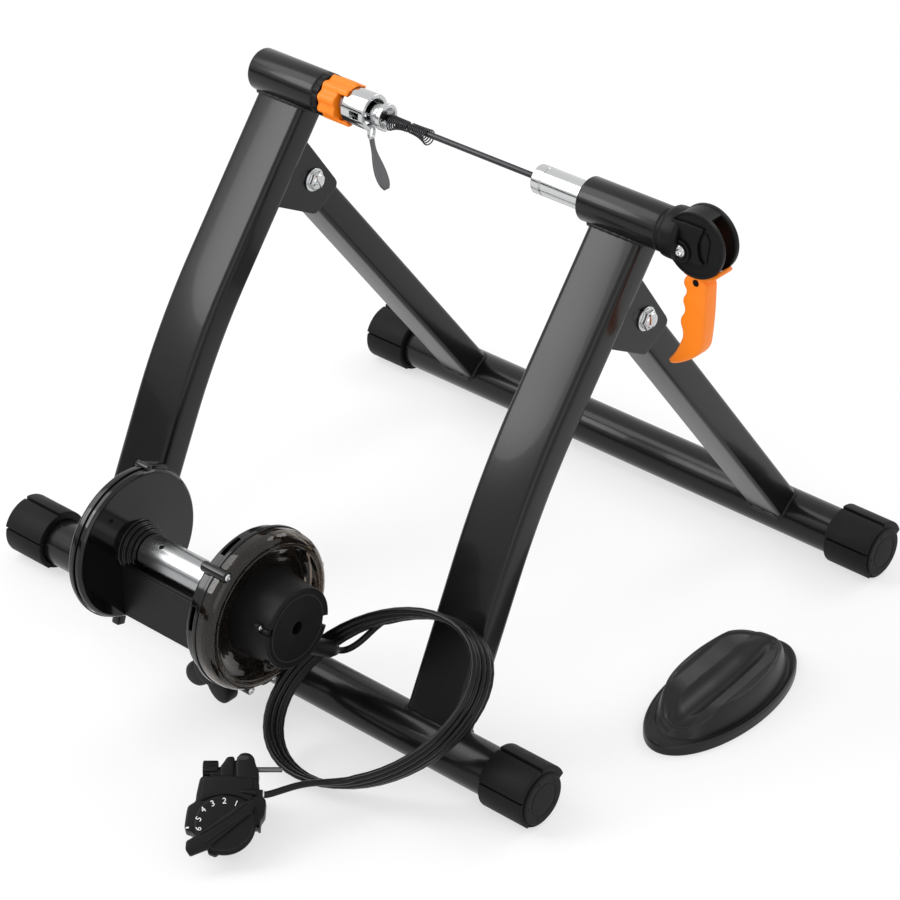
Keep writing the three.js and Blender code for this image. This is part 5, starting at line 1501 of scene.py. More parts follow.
@dataclass
class ResistanceUnit(Assembly):
    """Covers, roller, hub and beam of the magnetic brake. Outlines are millimetres."""

    body: str = "unit"
    slot: Slot = Slot.GLOSS
    wall: float = 0.002
    shaft_bore: float = 0.0113
    collar: float = 0.02
    collar_step: float = 0.0016
    lugs: tuple[tuple[float, ...], ...] = (
        (127.7, -0.0095, 0.0138, 0.0042, 0.0028), (-107.0, 0.0035, 0.0126, 0.0036, 0.0028),
        (-84.0, 0.0035, 0.0112, 0.0028, 0.002), (7.0, 0.0025, 0.0085, 0.0026, 0.0019))
    lug_rise: float = 0.0006
    dome: Line = (
        (8.5, 61.8), (11.8, 61.0), (14.3, 59.2), (15.7, 56.9), (16.0, 54.6), (15.2, 53.6), (15.2, 52.8),
        (15.7, 52.0), (14.7, 49.4), (12.6, 45.6), (10.9, 41.6), (10.1, 38.2), (9.9, 34.6))
    hollow: Line = (
        (8.3, 34.6), (8.5, 38.2), (9.3, 42.2), (11.0, 46.4), (13.0, 50.2), (13.9, 53.4), (14.2, 56.6),
        (13.0, 58.4), (11.0, 59.6), (8.2, 60.2))
    windows: int = 6
    roller_gap: float = 0.0005
    roller_hole: Triple = (-0.0325, 18.0, 0.0021)
    hub_base: float = 0.0352
    hub_nose: float = 0.0312
    hub_hole: float = 0.0052
    notches: tuple[Triple, ...] = ((160.0, 0.0026, 0.0046), (-15.0, 0.0042, 0.0058))
    gland_x: float = 0.092
    gland_offset: float = 0.0131
    gland_angle: float = radians(-34)
    gland_reach: float = 0.066
    gland_radius: float = 0.0065
    gland_bore: float = 0.0029

    def place(self) -> Matrix:
        """The roller's axis."""
        return along_x(0, self.datums.unit.y, self.datums.unit.z)

    def line_at(self, angle: float, radius: float, x: float) -> Matrix:
        """A line along X at an angle and radius about the roller's axis, in degrees from +Y."""
        turn, unit = radians(angle), self.datums.unit
        return along_x(x, unit.y + radius * cos(turn), unit.z + radius * sin(turn))

    def rim_at(self, angle: float, x: float, rise: float) -> Matrix:
        """A place on the rim, its Z outwards at an angle in degrees from +Y."""
        turn = Matrix.Rotation(radians(angle - 90), 4, "X")
        return self.place() @ turn @ Matrix.Translation((x, 0, rise))

    def build(self) -> None:
        """Makes the unit from left to right."""
        self._left_covers()
        self._cover_fixings()
        self._roller()
        self._back_cover()
        self._smoked_cover()
        self._lugs()
        self._hub()
        self._hub_fixings()
        self._gland()
        low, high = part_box("unit_beam")
        lip = rod("beam_lip", low.x + 0.0005, high.x - 0.0005, 0.0021, 0.0004, SMALL)
        self.add(lip, at=along_x(0, low.y + 0.0016, high.z - 0.0012), slot=Slot.PLASTIC)

    def _left_covers(self) -> None:
        """The flywheel's two cover halves and the seam between them."""
        low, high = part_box("left_cover_outer")
        rim = radius_of("left_cover_outer")
        inner, back = rim - self.wall, low.x + self.wall
        line = [
            (low.x, 0), (low.x, rim - 0.0055), (low.x + 0.0035, rim), (high.x, rim), (high.x, inner),
            (low.x + 0.004, inner), (back, rim - 0.007), (back, 0)]
        self.add(turned("flywheel_cover_outer", line, 0.0013, 144), "left_cover_outer")
        low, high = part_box("left_cover_inner")
        face, back = low.x + 0.0074, low.x + 0.0074 - self.wall
        line = [(low.x, rim), (face - 0.002, rim), (face, rim - 0.002), (face, self.collar)]
        for k in (1, 2):
            x = face + k * (high.x - face) / 3
            line += [(x, self.collar - (k - 1) * self.collar_step), (x, self.collar - k * self.collar_step)]
        line += [
            (high.x, self.collar - 2 * self.collar_step), (high.x, self.shaft_bore),
            (back, self.shaft_bore), (back, inner), (low.x, inner)]
        self.add(lathe("flywheel_cover_inner", rounded(line, 0.0007), 144, ring=True), "left_cover_inner")
        start, end = low.x - 0.0012, low.x + 0.0016
        self.add(pipe("flywheel_cover_seam", start, end, rim + 0.0013, rim + 0.0003, 0.0004, 144))

    def _cover_fixings(self) -> None:
        """The flywheel cover's screw lug, clip and bottom tab."""
        x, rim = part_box("left_cover_inner")[0].x, radius_of("left_cover_outer")
        lug = rod("flywheel_cover_lug", -0.0062, 0.0062, 0.0028, 0.0008, SMALL)
        self.add(lug, at=self.line_at(74, rim + 0.0011, x))
        clip = rounded(from_mm([(-11, -1.5), (11, -1.5), (9, 2), (-9, 2)]), 0.0012)
        bar = plate("flywheel_cover_clip", [clip], -0.0045, 0.0045, 0.0007, Plane.X)
        self.add(bar, at=self.rim_at(64, x, rim + 0.0008))
        tab = rounded(from_mm([(-4.5, 4), (4.5, 4), (4, -7.5), (-4, -7.5)]), 0.0015)
        foot = plate("flywheel_cover_tab", [tab], -0.003, 0.0035, 0.0008, Plane.X)
        self.add(foot, at=self.rim_at(74, x, -rim - 0.0005))

    def _roller(self) -> None:
        """The steel roller with its grub screw hole."""
        low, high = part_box("roller")
        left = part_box("left_cover_inner")[1].x + self.roller_gap
        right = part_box("right_bearing")[0].x - self.roller_gap
        body = rod("roller_barrel", left, right, radius_of("roller"), 0.0007, FINE)
        across, turn, hole = self.roller_hole
        drill = lathe("tool", [(0.0115, 0), (0.0115, hole), (0.02, hole), (0.02, 0)], SMALL)
        plug = rod("roller_grub_screw", 0.0118, 0.0126, hole, 0.0002, SMALL)
        for piece in (drill, plug):
            piece.data.transform(Matrix.Rotation(-pi / 2, 4, "Y"))
            spun(piece, radians(turn)).data.transform(along_x(self.datums.unit.x + across, 0, 0))
        self.add(carve(body, drill), "roller", body="rotor", slot=Slot.STEEL)
        self.add(plug, body="rotor", slot=Slot.STEEL, finish="socket_dark")
        self.add(rod("roller_spindle", low.x, high.x, 0.004, 0.0004), body="rotor", slot=Slot.STEEL)

    def _back_cover(self) -> None:
        """The brake side's black back cover, with windows round its rim."""
        low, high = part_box("right_back_cover")
        rim, face, bore = radius_of("right_back_cover"), low.x + 0.001, self.shaft_bore
        inner, back = rim - self.wall, face + self.wall
        line = [
            (face, bore), (face, rim - 0.0015), (face + 0.0015, rim), (high.x, rim), (high.x, inner),
            (back, inner), (back, bore)]
        shell = lathe("brake_back_cover", rounded(line, 0.0007), 144, ring=True)
        tools = []
        half = rim / 6.2
        for i in range(self.windows):
            tool = box_tool((face + 0.0034, -half, rim - 0.0045), (high.x - 0.0022, half, rim + 0.01))
            tools.append(spun(tool, (i + 0.25) / self.windows * TURN))
        self.add(carve(shell, *tools), "right_back_cover")
        guard = pipe("brake_inner_ring", face + 0.003, high.x - 0.002, rim - 0.0052, rim - 0.0066, 0.0004)
        self.add(guard, slot=Slot.PLASTIC)

    def _smoked_cover(self) -> None:
        """The smoked cover: a rounded rim, a groove and a bowl round the hub, with a black band."""
        x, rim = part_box("right_cover")[0].x, radius_of("right_cover")
        line = [(x, rim), *from_mm(self.dome, x), *from_mm(self.hollow, x), (x, rim - 0.0016)]
        self.add(
            lathe("brake_smoked_cover", rounded(line, 0.0006), 144, ring=True), "right_cover",
            slot=Slot.SMOKE)
        self.add(
            pipe("brake_cover_band", x - 0.0003, x + 0.0028, rim + 0.0007, rim - 0.0003, 0.0004, 144),
            slot=Slot.SMOKE, finish="cover_gloss")

    def _lugs(self) -> None:
        """The screw lugs round the smoked cover, each with its root and screw."""
        x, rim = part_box("right_cover")[0].x, radius_of("right_cover") + self.lug_rise
        for k, (angle, start, end, reach, screw) in enumerate(self.lugs, 1):
            lug = rod(f"brake_lug_{k}", x + start, x + end, reach, 0.0008)
            self.add(lug, at=self.line_at(angle, rim, 0))
            foot = reach * 1.1
            web = rounded(
                [(-foot, -0.0045), (foot, -0.0045), (foot * 0.8, 0.001), (-foot * 0.8, 0.001)], 0.0008)
            root = plate(
                f"brake_lug_root_{k}", [web], x + start + 0.001, x + min(end, 0.0105) - 0.001, 0.0006,
                Plane.X)
            self.add(root, at=self.rim_at(angle, 0, rim))
            seat = self.line_at(angle, rim, x + end - 0.0003).translation
            socket_screw(f"brake_screw_{k}", seat, screw, "unit", (), along_x, 0.0016)

    def _hub(self) -> None:
        """The matt hub boss: a bell with a lip, a centre hole, notches and a fine ring."""
        low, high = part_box("hub_boss")
        base, nose, foot, end = self.hub_base, self.hub_nose, low.x - 0.0088, high.x
        bell = [
            (foot + (end - foot) * t, nose + (base - nose) * (1 - t) ** 1.7)
            for t in (0, 0.15, 0.3, 0.45, 0.6, 0.75, 0.88)]
        lip = [
            (-0.0016, nose), (-0.0012, nose + 0.0004), (0, nose), (0, nose - 0.0012),
            (-0.0004, nose - 0.0018), (-0.0004, self.hub_hole), (-0.006, self.hub_hole),
            (-0.006, base - 0.008)]
        line = rounded([(foot, base - 0.002), *bell, *((end + x, r) for x, r in lip)], 0.0007)
        shell = lathe("hub_shell", line, 144, ring=True)
        tools = []
        for angle, half, depth in self.notches:
            tool = box_tool((end - 0.0085, -half, nose - depth), (end + 0.002, half, nose + 0.01))
            tools.append(spun(tool, radians(angle - 90)))
        self.add(carve(shell, *tools), "hub_boss", slot=Slot.PLASTIC)
        # The fine ring takes a lighter grey than the hub: a painted highlight along it.
        ring = pipe("hub_face_ring", end - 0.0008, end - 0.0002, 0.0262, 0.0256, 0.0001)
        self.add(ring, slot=Slot.PLASTIC, finish="edge_grey")

    def _hub_fixings(self) -> None:
        """The hub's pin in its notch, and two small lugs, one with a screw."""
        end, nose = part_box("hub_boss")[1].x, self.hub_nose
        pin = self.line_at(160, nose - 0.0012, end - 0.006)
        side = self.line_at(157, nose + 0.0014, end - 0.0082)
        lower = self.line_at(-145, nose + 0.0012, end - 0.0053)
        for name, start, reach, radius, edge, place in (
            ("hub_pin", -0.006, 0.0052, 0.0021, 0.0005, pin),
            ("hub_side_lug", -0.004, 0.0006, 0.0032, 0.0006, side),
            ("hub_lower_lug", -0.003, 0.001, 0.0017, 0.0005, lower)
        ):
            self.add(rod(name, start, reach, radius, edge, SMALL), at=place, slot=Slot.PLASTIC)
        seat = self.line_at(157, nose + 0.0014, end - 0.0078).translation
        socket_screw("hub_side_screw", seat, 0.0019, "unit", (), along_x, 0.0012)

    def _gland(self) -> None:
        """The tapered cable gland that leaves the hub."""
        unit, reach, bore = self.datums.unit, self.gland_reach, self.gland_bore
        gland = rounded(
            [
                (0.02, bore), (0.02, self.gland_radius), (reach - 0.007, self.gland_radius),
                (reach, 0.0043), (reach, bore)],
            0.0012)
        turn = Matrix.Rotation(self.gland_angle, 4, "X") @ Matrix.Translation((0, 0, -self.gland_offset))
        place = Matrix.Translation((unit.x + self.gland_x, unit.y, unit.z)) @ turn @ facing_y(0, 0, 0)
        self.add(lathe("cable_gland", gland, MEDIUM, ring=True), at=place, slot=Slot.PLASTIC)


@dataclass
class TiltGear(Assembly):
    """Tilt pin, tension knob, screw and spring."""

    body: str = "tension_knob"
    lobe_reach: float = 0.0285
    waist: float = 0.0135
    lobes: int = 4
    lobe_power: float = 0.62
    turn: float = radians(38)
    hub_radius: float = 0.0115
    wire: float = 0.0009
    curls: int = 8

    def build(self) -> None:
        """Makes the knob and the parts on its screw."""
        low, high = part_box("tension_knob")
        centre = middle("tension_bolt")
        outline = []
        for angle in (TURN * i / 144 for i in range(144)):
            swell = 0.5 + 0.5 * cos(self.lobes * (angle - self.turn))
            reach = self.waist + (self.lobe_reach - self.waist) * swell**self.lobe_power
            outline.append((centre.x + reach * cos(angle), centre.z + reach * sin(angle)))
        knob = plate("knob_lobes", [outline], low.y + 0.002, high.y, 0.0028, Plane.Y)
        self.add(knob, "tension_knob")
        hub = rod("knob_hub", 0, high.y - low.y - 0.001, self.hub_radius, 0.0012)
        self.add(hub, at=facing_y(centre.x, low.y, centre.z))
        low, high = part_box("tension_bolt")
        screw = rod("tension_screw", 0, high.y - low.y, radius_of("tension_bolt"), 0.0005)
        self.add(screw, "tension_bolt", facing_y(centre.x, low.y, centre.z), "screw_shank", Slot.STEEL)
        low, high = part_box("tension_spring")
        radius = (high.x - low.x) / 2 - self.wire
        steps = self.curls * 20
        line = []
        for i in range(steps + 1):
            angle = i / 20 * TURN
            y = low.y + self.wire + (high.y - low.y - 2 * self.wire) * i / steps
            line.append(Vector((centre.x + radius * sin(angle), y, centre.z + radius * cos(angle))))
        coil = tube("tension_coil", line, self.wire, 10)
        self.add(coil, "tension_spring", body="frame", slot=Slot.DARK_STEEL)
        low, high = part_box("tilt_pin")
        pin = rod("tilt_axle", low.x, high.x, radius_of("tilt_pin"), 0.0008)
        self.add(pin, "tilt_pin", along_x(0, self.datums.tilt.y, self.datums.tilt.z), "frame", Slot.STEEL)


# Remote


@dataclass
class Remote(Assembly):
    """The remote shifter, which lies on its clamp: housing, dial with its numbers, lever and screw.

    Outlines are millimetres in the remote's own frame, u along its screw and v towards its ears.
    """

    joints: Sequence[dict] = ()
    face: float = -0.0018
    neck_back: float = -0.0158
    drum_back: float = -0.0237
    drum_tip: float = 0.0121
    drum_radius: float = 0.022
    dial_radius: float = 0.0215
    dial_half: float = 0.0015
    screw_v: float = 0.0435
    screw_n: float = -0.0088
    head_end: float = -0.0061
    cable_v: float = 0.0235
    cable_n: float = -0.0042
    neck: Line = (
        (22.6, -0.7), (23.6, -2.3), (25, -1.9), (25.2, 3.6), (28, 8), (28.6, 19.1), (26.5, 21),
        (23.7, 26.6), (22.8, 36), (14.2, 34.2), (6.2, 36.8), (-3.3, 37.1), (-12.7, 35.8), (-16.8, 36.9),
        (-18.8, 34.7), (-20.8, 23.5), (-21.2, 17.9), (-26.6, 14.2), (-27.6, 8), (-28.5, -1.3),
        (-27.5, -3.5), (-23.9, -4.4), (-20.3, -7.8), (0, -4))
    crown: Line = ((-18, 17), (-9, 21), (0, 22.2), (9, 21), (19, 16))
    left_ear: Line = (
        (-4.6, 34), (5.5, 34), (5.5, 50.6), (4.5, 51.8), (0.1, 51.5), (-2.4, 47.1), (-4.4, 44.6))
    right_ear: Line = (
        (6.6, 34), (22.8, 34), (23, 41), (20.8, 45), (19.6, 50.4), (17.2, 53.5), (13, 54.5), (9.4, 53.6),
        (7.2, 50.6), (6.2, 46))
    bridge: Line = (
        (-13, 33), (-12.6, 38.2), (-8.6, 40.6), (-4.2, 43.4), (2.5, 48.4), (9.5, 50.4), (18.4, 47.5),
        (22.7, 39), (22.7, 33))
    lower_lug: Line = ((-11.6, -18.1), (-11.2, -20.6), (-6.2, -22.7), (-2.8, -20.2), (0, -16), (-9, -12))
    bar: Line = (
        (-26.2, -14.6), (-26.5, -20.4), (-23.2, -25.4), (-11.1, -20.4), (18.6, 5.4), (22.2, 14.6),
        (20, 16.4), (13.1, 14.7), (-16.7, -8.7))
    ridges: tuple[tuple[str, Line], ...] = (
        ("upper", ((-16.7, -9.6), (0.5, 1.6), (15.5, 13.6))),
        ("lower", ((-13, -16.2), (2, -4.6), (17, 5.6))))
    numbers: tuple[tuple[str, float, float], ...] = (
        ("1", 7.9, 14.3), ("2", -0.4, 16.2), ("3", -8.6, 14.3), ("4", -15.0, 9.7), ("5", -18.0, 2.9),
        ("6", -17.9, -4.3))
    number_lean: float = 0.72
    number_size: float = 0.0062

    def place(self) -> Matrix:
        """The remote's own frame: u along its screw, n out of its dial."""
        dial = next(j for j in self.joints if j["name"] == "dial_turn")
        screw = next(j for j in self.joints if j["name"] == "clamp_screw_turn")
        n, u = Vector(dial["axis"]).normalized(), Vector(screw["axis"]).normalized()
        turn = Matrix((u, n.cross(u), n)).transposed().to_4x4()
        return Matrix.Translation(dial["pos_m"]) @ turn

    def flat(
        self, name: str, outline: Line, low: float, high: float, corner: float, edge: float, **other: str
    ) -> None:
        """Adds one plate of the remote.

        Args:
            name: the piece's name.
            outline: its outline in millimetres.
            low: where it starts along n, in metres.
            high: where it ends.
            corner: the reach of its outline's rounds.
            edge: the radius of its edges.
            other: what add takes besides.
        """
        line = rounded(from_mm(outline), corner)
        self.add(plate(name, [line], low, high, edge, Plane.Z), **other)

    def build(self) -> None:
        """Makes the remote's pieces in its own frame."""
        self._housing()
        self._cable_inlet()
        self.flat("remote_lower_lug", self.lower_lug, self.face - 0.006, self.face - 0.0006, 0.0012, 0.0008)
        self._dial()
        for label, u, v in self.numbers:
            self._number(label, Vector((u / 1000, v / 1000, self.dial_half + 0.0004)))
        self._index_mark()
        self._clamp()

    def _housing(self) -> None:
        """The drum, the stepped neck, its bridge, ears and saddle."""
        face, back = self.face, self.neck_back
        drum = [
            (self.drum_back, 0), (self.drum_back, self.drum_tip), (face - 0.003, self.drum_radius),
            (face, self.drum_radius), (face, 0)]
        self.add(turned("remote_drum", drum, 0.0012), "remote_housing", self.place() @ facing_z(0, 0, 0))
        self.flat("remote_neck", self.neck, back, face - 0.0004, 0.0016, 0.0016)
        step = [(u * 0.86, v) for u, v in self.neck[8:16]] + [*self.crown]
        self.flat("remote_neck_crown", step, face - 0.002, face + 0.0006, 0.003, 0.0009)
        self.flat("remote_bridge", self.bridge, back, face - 0.0024, 0.0022, 0.0018)
        self.flat("remote_ear_left", self.left_ear, back, face - 0.0008, 0.0018, 0.0016)
        self.flat("remote_ear_right", self.right_ear, back, face + 0.0002, 0.0024, 0.002)
        # The recess is not cut: a thin plate stands on the ear's face, painted lighter grey as a painted
        # highlight where the recess is.
        recess = [(11.7 + 4.4 * cos(t), 49.9 + 1.7 * sin(t)) for t in (TURN * k / 20 for k in range(20))]
        hollow = plate(
            "remote_ear_recess", [from_mm(recess)], face + 0.0001, face + 0.0005, 0.0001, Plane.Z)
        self.add(hollow, finish="edge_grey")
        saddle = rod("remote_saddle", -0.012, 0.019, 0.0062, 0.002)
        self.add(saddle, at=self.place() @ along_x(0, 0.0395, face - 0.0082))

    def _cable_inlet(self) -> None:
        """The cable's socket with its pale ferrule, and the ridge over it."""
        ridge = [
            Vector((0.0078, 0.0248, self.face - 0.0006)), Vector((0.0145, 0.0243, self.face + 0.0002)),
            Vector((0.0215, 0.0238, self.face - 0.0012))]
        self.add(tube("remote_cable_ridge", ridge, lambda s: 0.0008 + 0.0022 * s, 12))
        place = self.place() @ along_x(0, self.cable_v, self.face + self.cable_n)
        self.add(pipe("remote_cable_inlet", 0.012, 0.0262, 0.0038, 0.0027, 0.0008, MEDIUM), at=place)
        ferrule = pipe("cable_ferrule", 0.0246, 0.0272, 0.003, 0.0026, 0.0003, MEDIUM)
        self.add(ferrule, at=place, finish="white_print")

    def _dial(self) -> None:
        """The turning dial with its half-round grip and its finger bar."""
        half, rim = self.dial_half, self.dial_radius
        disc = [
            (-half, 0), (-half, rim - 0.0006), (half - 0.0009, rim), (half, rim - 0.0015),
            (half + 0.0004, 0)]
        self.add(turned("dial_disc", disc, 0.0006), "remote_dial", self.place() @ facing_z(0, 0, 0), "dial")
        fan = [*arc((0, 0), rim - 0.0008, -pi * 0.99, -pi * 0.02, 40), (0.016, -0.001), (-0.016, -0.001)]
        grip = plate("dial_grip", [rounded(fan, 0.0012)], half, half + 0.0026, 0.001, Plane.Z)
        self.add(grip, at=self.place() @ Matrix.Rotation(radians(38), 4, "Z"), body="dial")
        self.flat("dial_lever", self.bar, half, half + 0.0046, 0.0012, 0.0012, body="dial")
        for name, ends in self.ridges:
            line = spline_through([Vector((u, v, half + 0.0042)) for u, v in from_mm(ends)], 12)
            self.add(tube(f"dial_lever_ridge_{name}", line, 0.0011, 10), body="dial")

    def _number(self, text: str, spot: Vector) -> None:
        """Adds one plain number to the dial, its top towards the rim.

        Args:
            text: the number.
            spot: its middle in the remote's own frame.
        """
        words = bpy.data.curves.new(f"number_{text}", "FONT")
        words.body, words.size, words.extrude = text, self.number_size, 0.00006
        words.align_x, words.align_y = "CENTER", "CENTER"
        holder = linked(f"number_{text}", words)
        mesh = evaluated(holder)
        bpy.data.objects.remove(holder)
        lean = (atan2(spot.y, spot.x) % TURN - pi / 2) * self.number_lean
        place = self.place() @ Matrix.Translation(spot) @ Matrix.Rotation(lean, 4, "Z")
        self.add(linked(f"dial_number_{text}", mesh), at=place, body="dial", finish="white_print")

    def _index_mark(self) -> None:
        """The pale mark that the numbers pass."""
        dash = rounded(rectangle(0.0012, 0.0006), 0.0004)
        spot = Matrix.Translation((-0.0262, -0.0022, self.face - 0.0003)) @ Matrix.Rotation(0.2, 4, "Z")
        mark = plate("index_mark", [dash], -0.0002, 0.0001, 0.0001, Plane.Z)
        self.add(mark, at=self.place() @ spot, finish="white_print")

    def _clamp(self) -> None:
        """The bar clamp and its thumb screw."""
        ring = pipe("remote_bar_clamp", 0.023, 0.041, 0.015, 0.0114, 0.0008)
        self.add(ring, "remote_clamp", self.place() @ facing_y(0.0039, 0, self.neck_back - 0.0153))

        def ribbed(_x: float, r: float, angle: float) -> float:
            """Cuts grip ribs in the screw's head."""
            return r if r < 0.005 else r - 0.0006 * (0.5 + 0.5 * cos(angle * 14))

        end = self.head_end
        head = [(end - 0.011, 0), (end - 0.011, 0.0066), (end, 0.0066), (end, 0)]
        place = self.place() @ along_x(0, self.screw_v, self.screw_n)
        self.add(
            turned("thumb_screw_head", head, 0.0012, 128, ribbed), "remote_screw", place, "clamp_screw")
        shank = rod("thumb_screw_shank", end - 0.001, end + 0.0455, 0.0019, 0.0005, SMALL)
        self.add(shank, at=place, body="clamp_screw", finish="lever_steel")


# Riser block


@dataclass
class Riser(Assembly):
    """The front wheel's riser block: an oval flange, and a drafted body with the wheel's groove.

    The body is low and open at its near end, and stays high to its far end. Crest and floor give heights
    at shares of the half length.
    """

    body: str = "riser"
    half_length: float = 0.0845
    half_width: float = 0.0396
    base_share: float = 0.885
    top_share: float = 0.79
    seat: float = 0.0068
    crest: Line = (
        (-0.9, 0.0158), (-0.76, 0.0164), (-0.66, 0.0178), (-0.56, 0.0208), (-0.46, 0.025), (-0.36, 0.027),
        (0.0, 0.0274), (0.3, 0.0288), (0.5, 0.0308), (0.62, 0.0308), (0.9, 0.0295))
    floor: Line = (
        (-0.9, 0.0125), (-0.5, 0.0128), (0.0, 0.0138), (0.4, 0.017), (0.66, 0.0225), (0.9, 0.0262))
    flange: Line = (
        (0, 0), (0, 995), (1.2, 1000), (6.2, 1000), (8, 987), (8.3, 968), (7.6, 945), (7, 900), (6.8, 0))
    groove_radius: float = 0.0135
    facet_reach: float = 0.0235
    facet_drop: float = 0.0052
    rim_width: float = 0.0022
    rim_step: float = 0.0012
    edge: float = 0.0022
    grid: tuple[int, int] = (72, 120)
    turn: float = radians(3)

    @staticmethod
    def level(line: Line, v: float) -> float:
        """The height that a line gives at a share of the length, softened at its corners."""
        spread, total = 0.03, 0.0
        for k in (-2, -1, 0, 1, 2):
            at = min(max(v + spread * k, line[0][0]), line[-1][0])
            for (start, low), (end, high) in zip(line, line[1:]):
                if at <= end:
                    total += low + (high - low) * (at - start) / (end - start)
                    break
        return total / 5

    def surface(self, u: float, v: float) -> float:
        """The height of the body's top at shares of the half width and half length."""
        crest = self.level(self.crest, v)
        margin = (self.top_share - hypot(u, v)) * self.half_width
        across = abs(u) * self.half_width
        height = crest - self.rim_step * min(max((margin - self.rim_width) / 0.0008, 0), 1)
        reach = min(max((self.facet_reach - across) / (self.facet_reach - self.groove_radius * 0.8), 0), 1)
        height -= self.facet_drop * reach
        if across < self.groove_radius:
            wall = self.level(self.floor, v) + self.groove_radius - sqrt(self.groove_radius**2 - across**2)
            blend = min(max(0.5 + (height - wall) / 0.006, 0), 1)
            height = height + (wall - height) * blend - 0.0015 * blend * (1 - blend)
        if margin < self.edge:
            height -= self.edge - sqrt(max(self.edge**2 - (self.edge - margin) ** 2, 0))
        return max(height, self.seat)

    def place(self) -> Matrix:
        """The block's middle on the floor, with its slight turn."""
        centre = middle("riser_block")
        return Matrix.Translation((centre.x, centre.y, 0)) @ Matrix.Rotation(self.turn, 4, "Z")

    def build(self) -> None:
        """Makes the flange, and the body as one skin of a top grid and a drafted wall."""
        stretch = Matrix.Diagonal((self.half_width, self.half_length, 1, 1))
        flange = turned("riser_flange", from_mm(self.flange), 0.0008, 200)
        self.add(flange, "riser_block", self.place() @ stretch @ facing_z(0, 0, 0), finish="riser_plastic")
        columns, rows = self.grid
        points: list[Vector] = []
        for i in range(columns + 1):
            for k in range(rows + 1):
                x, y = 2 * i / columns - 1, 2 * k / rows - 1
                u = x * sqrt(1 - y * y / 2) * self.top_share
                v = y * sqrt(1 - x * x / 2) * self.top_share
                points.append(Vector((u * self.half_width, v * self.half_length, self.surface(u, v))))
        row = rows + 1
        faces = []
        for i in range(columns):
            faces += [(p, p + row, p + row + 1, p + 1) for p in range(i * row, i * row + rows)]
        border = [
            *range(rows), *(i * row + rows for i in range(columns)),
            *(columns * row + k for k in range(rows, 0, -1)), *(i * row for i in range(columns, 0, -1))]
        ring, size = border, len(border)
        for share in (0.25, 0.5, 0.75, 1.0):
            start = len(points)
            grow = 1 + (self.base_share / self.top_share - 1) * share
            for top in [points[index] for index in border]:
                drop = (self.seat - 0.003 - top.z) * share
                points.append(Vector((top.x * grow, top.y * grow, top.z + drop)))
            below = list(range(start, start + size))
            faces += [(ring[k], ring[(k + 1) % size], below[(k + 1) % size], below[k]) for k in range(size)]
            ring = below
        faces.append(tuple(ring))
        self.add(mesh_object("riser_moulding", points, faces), finish="riser_plastic")


# Stage


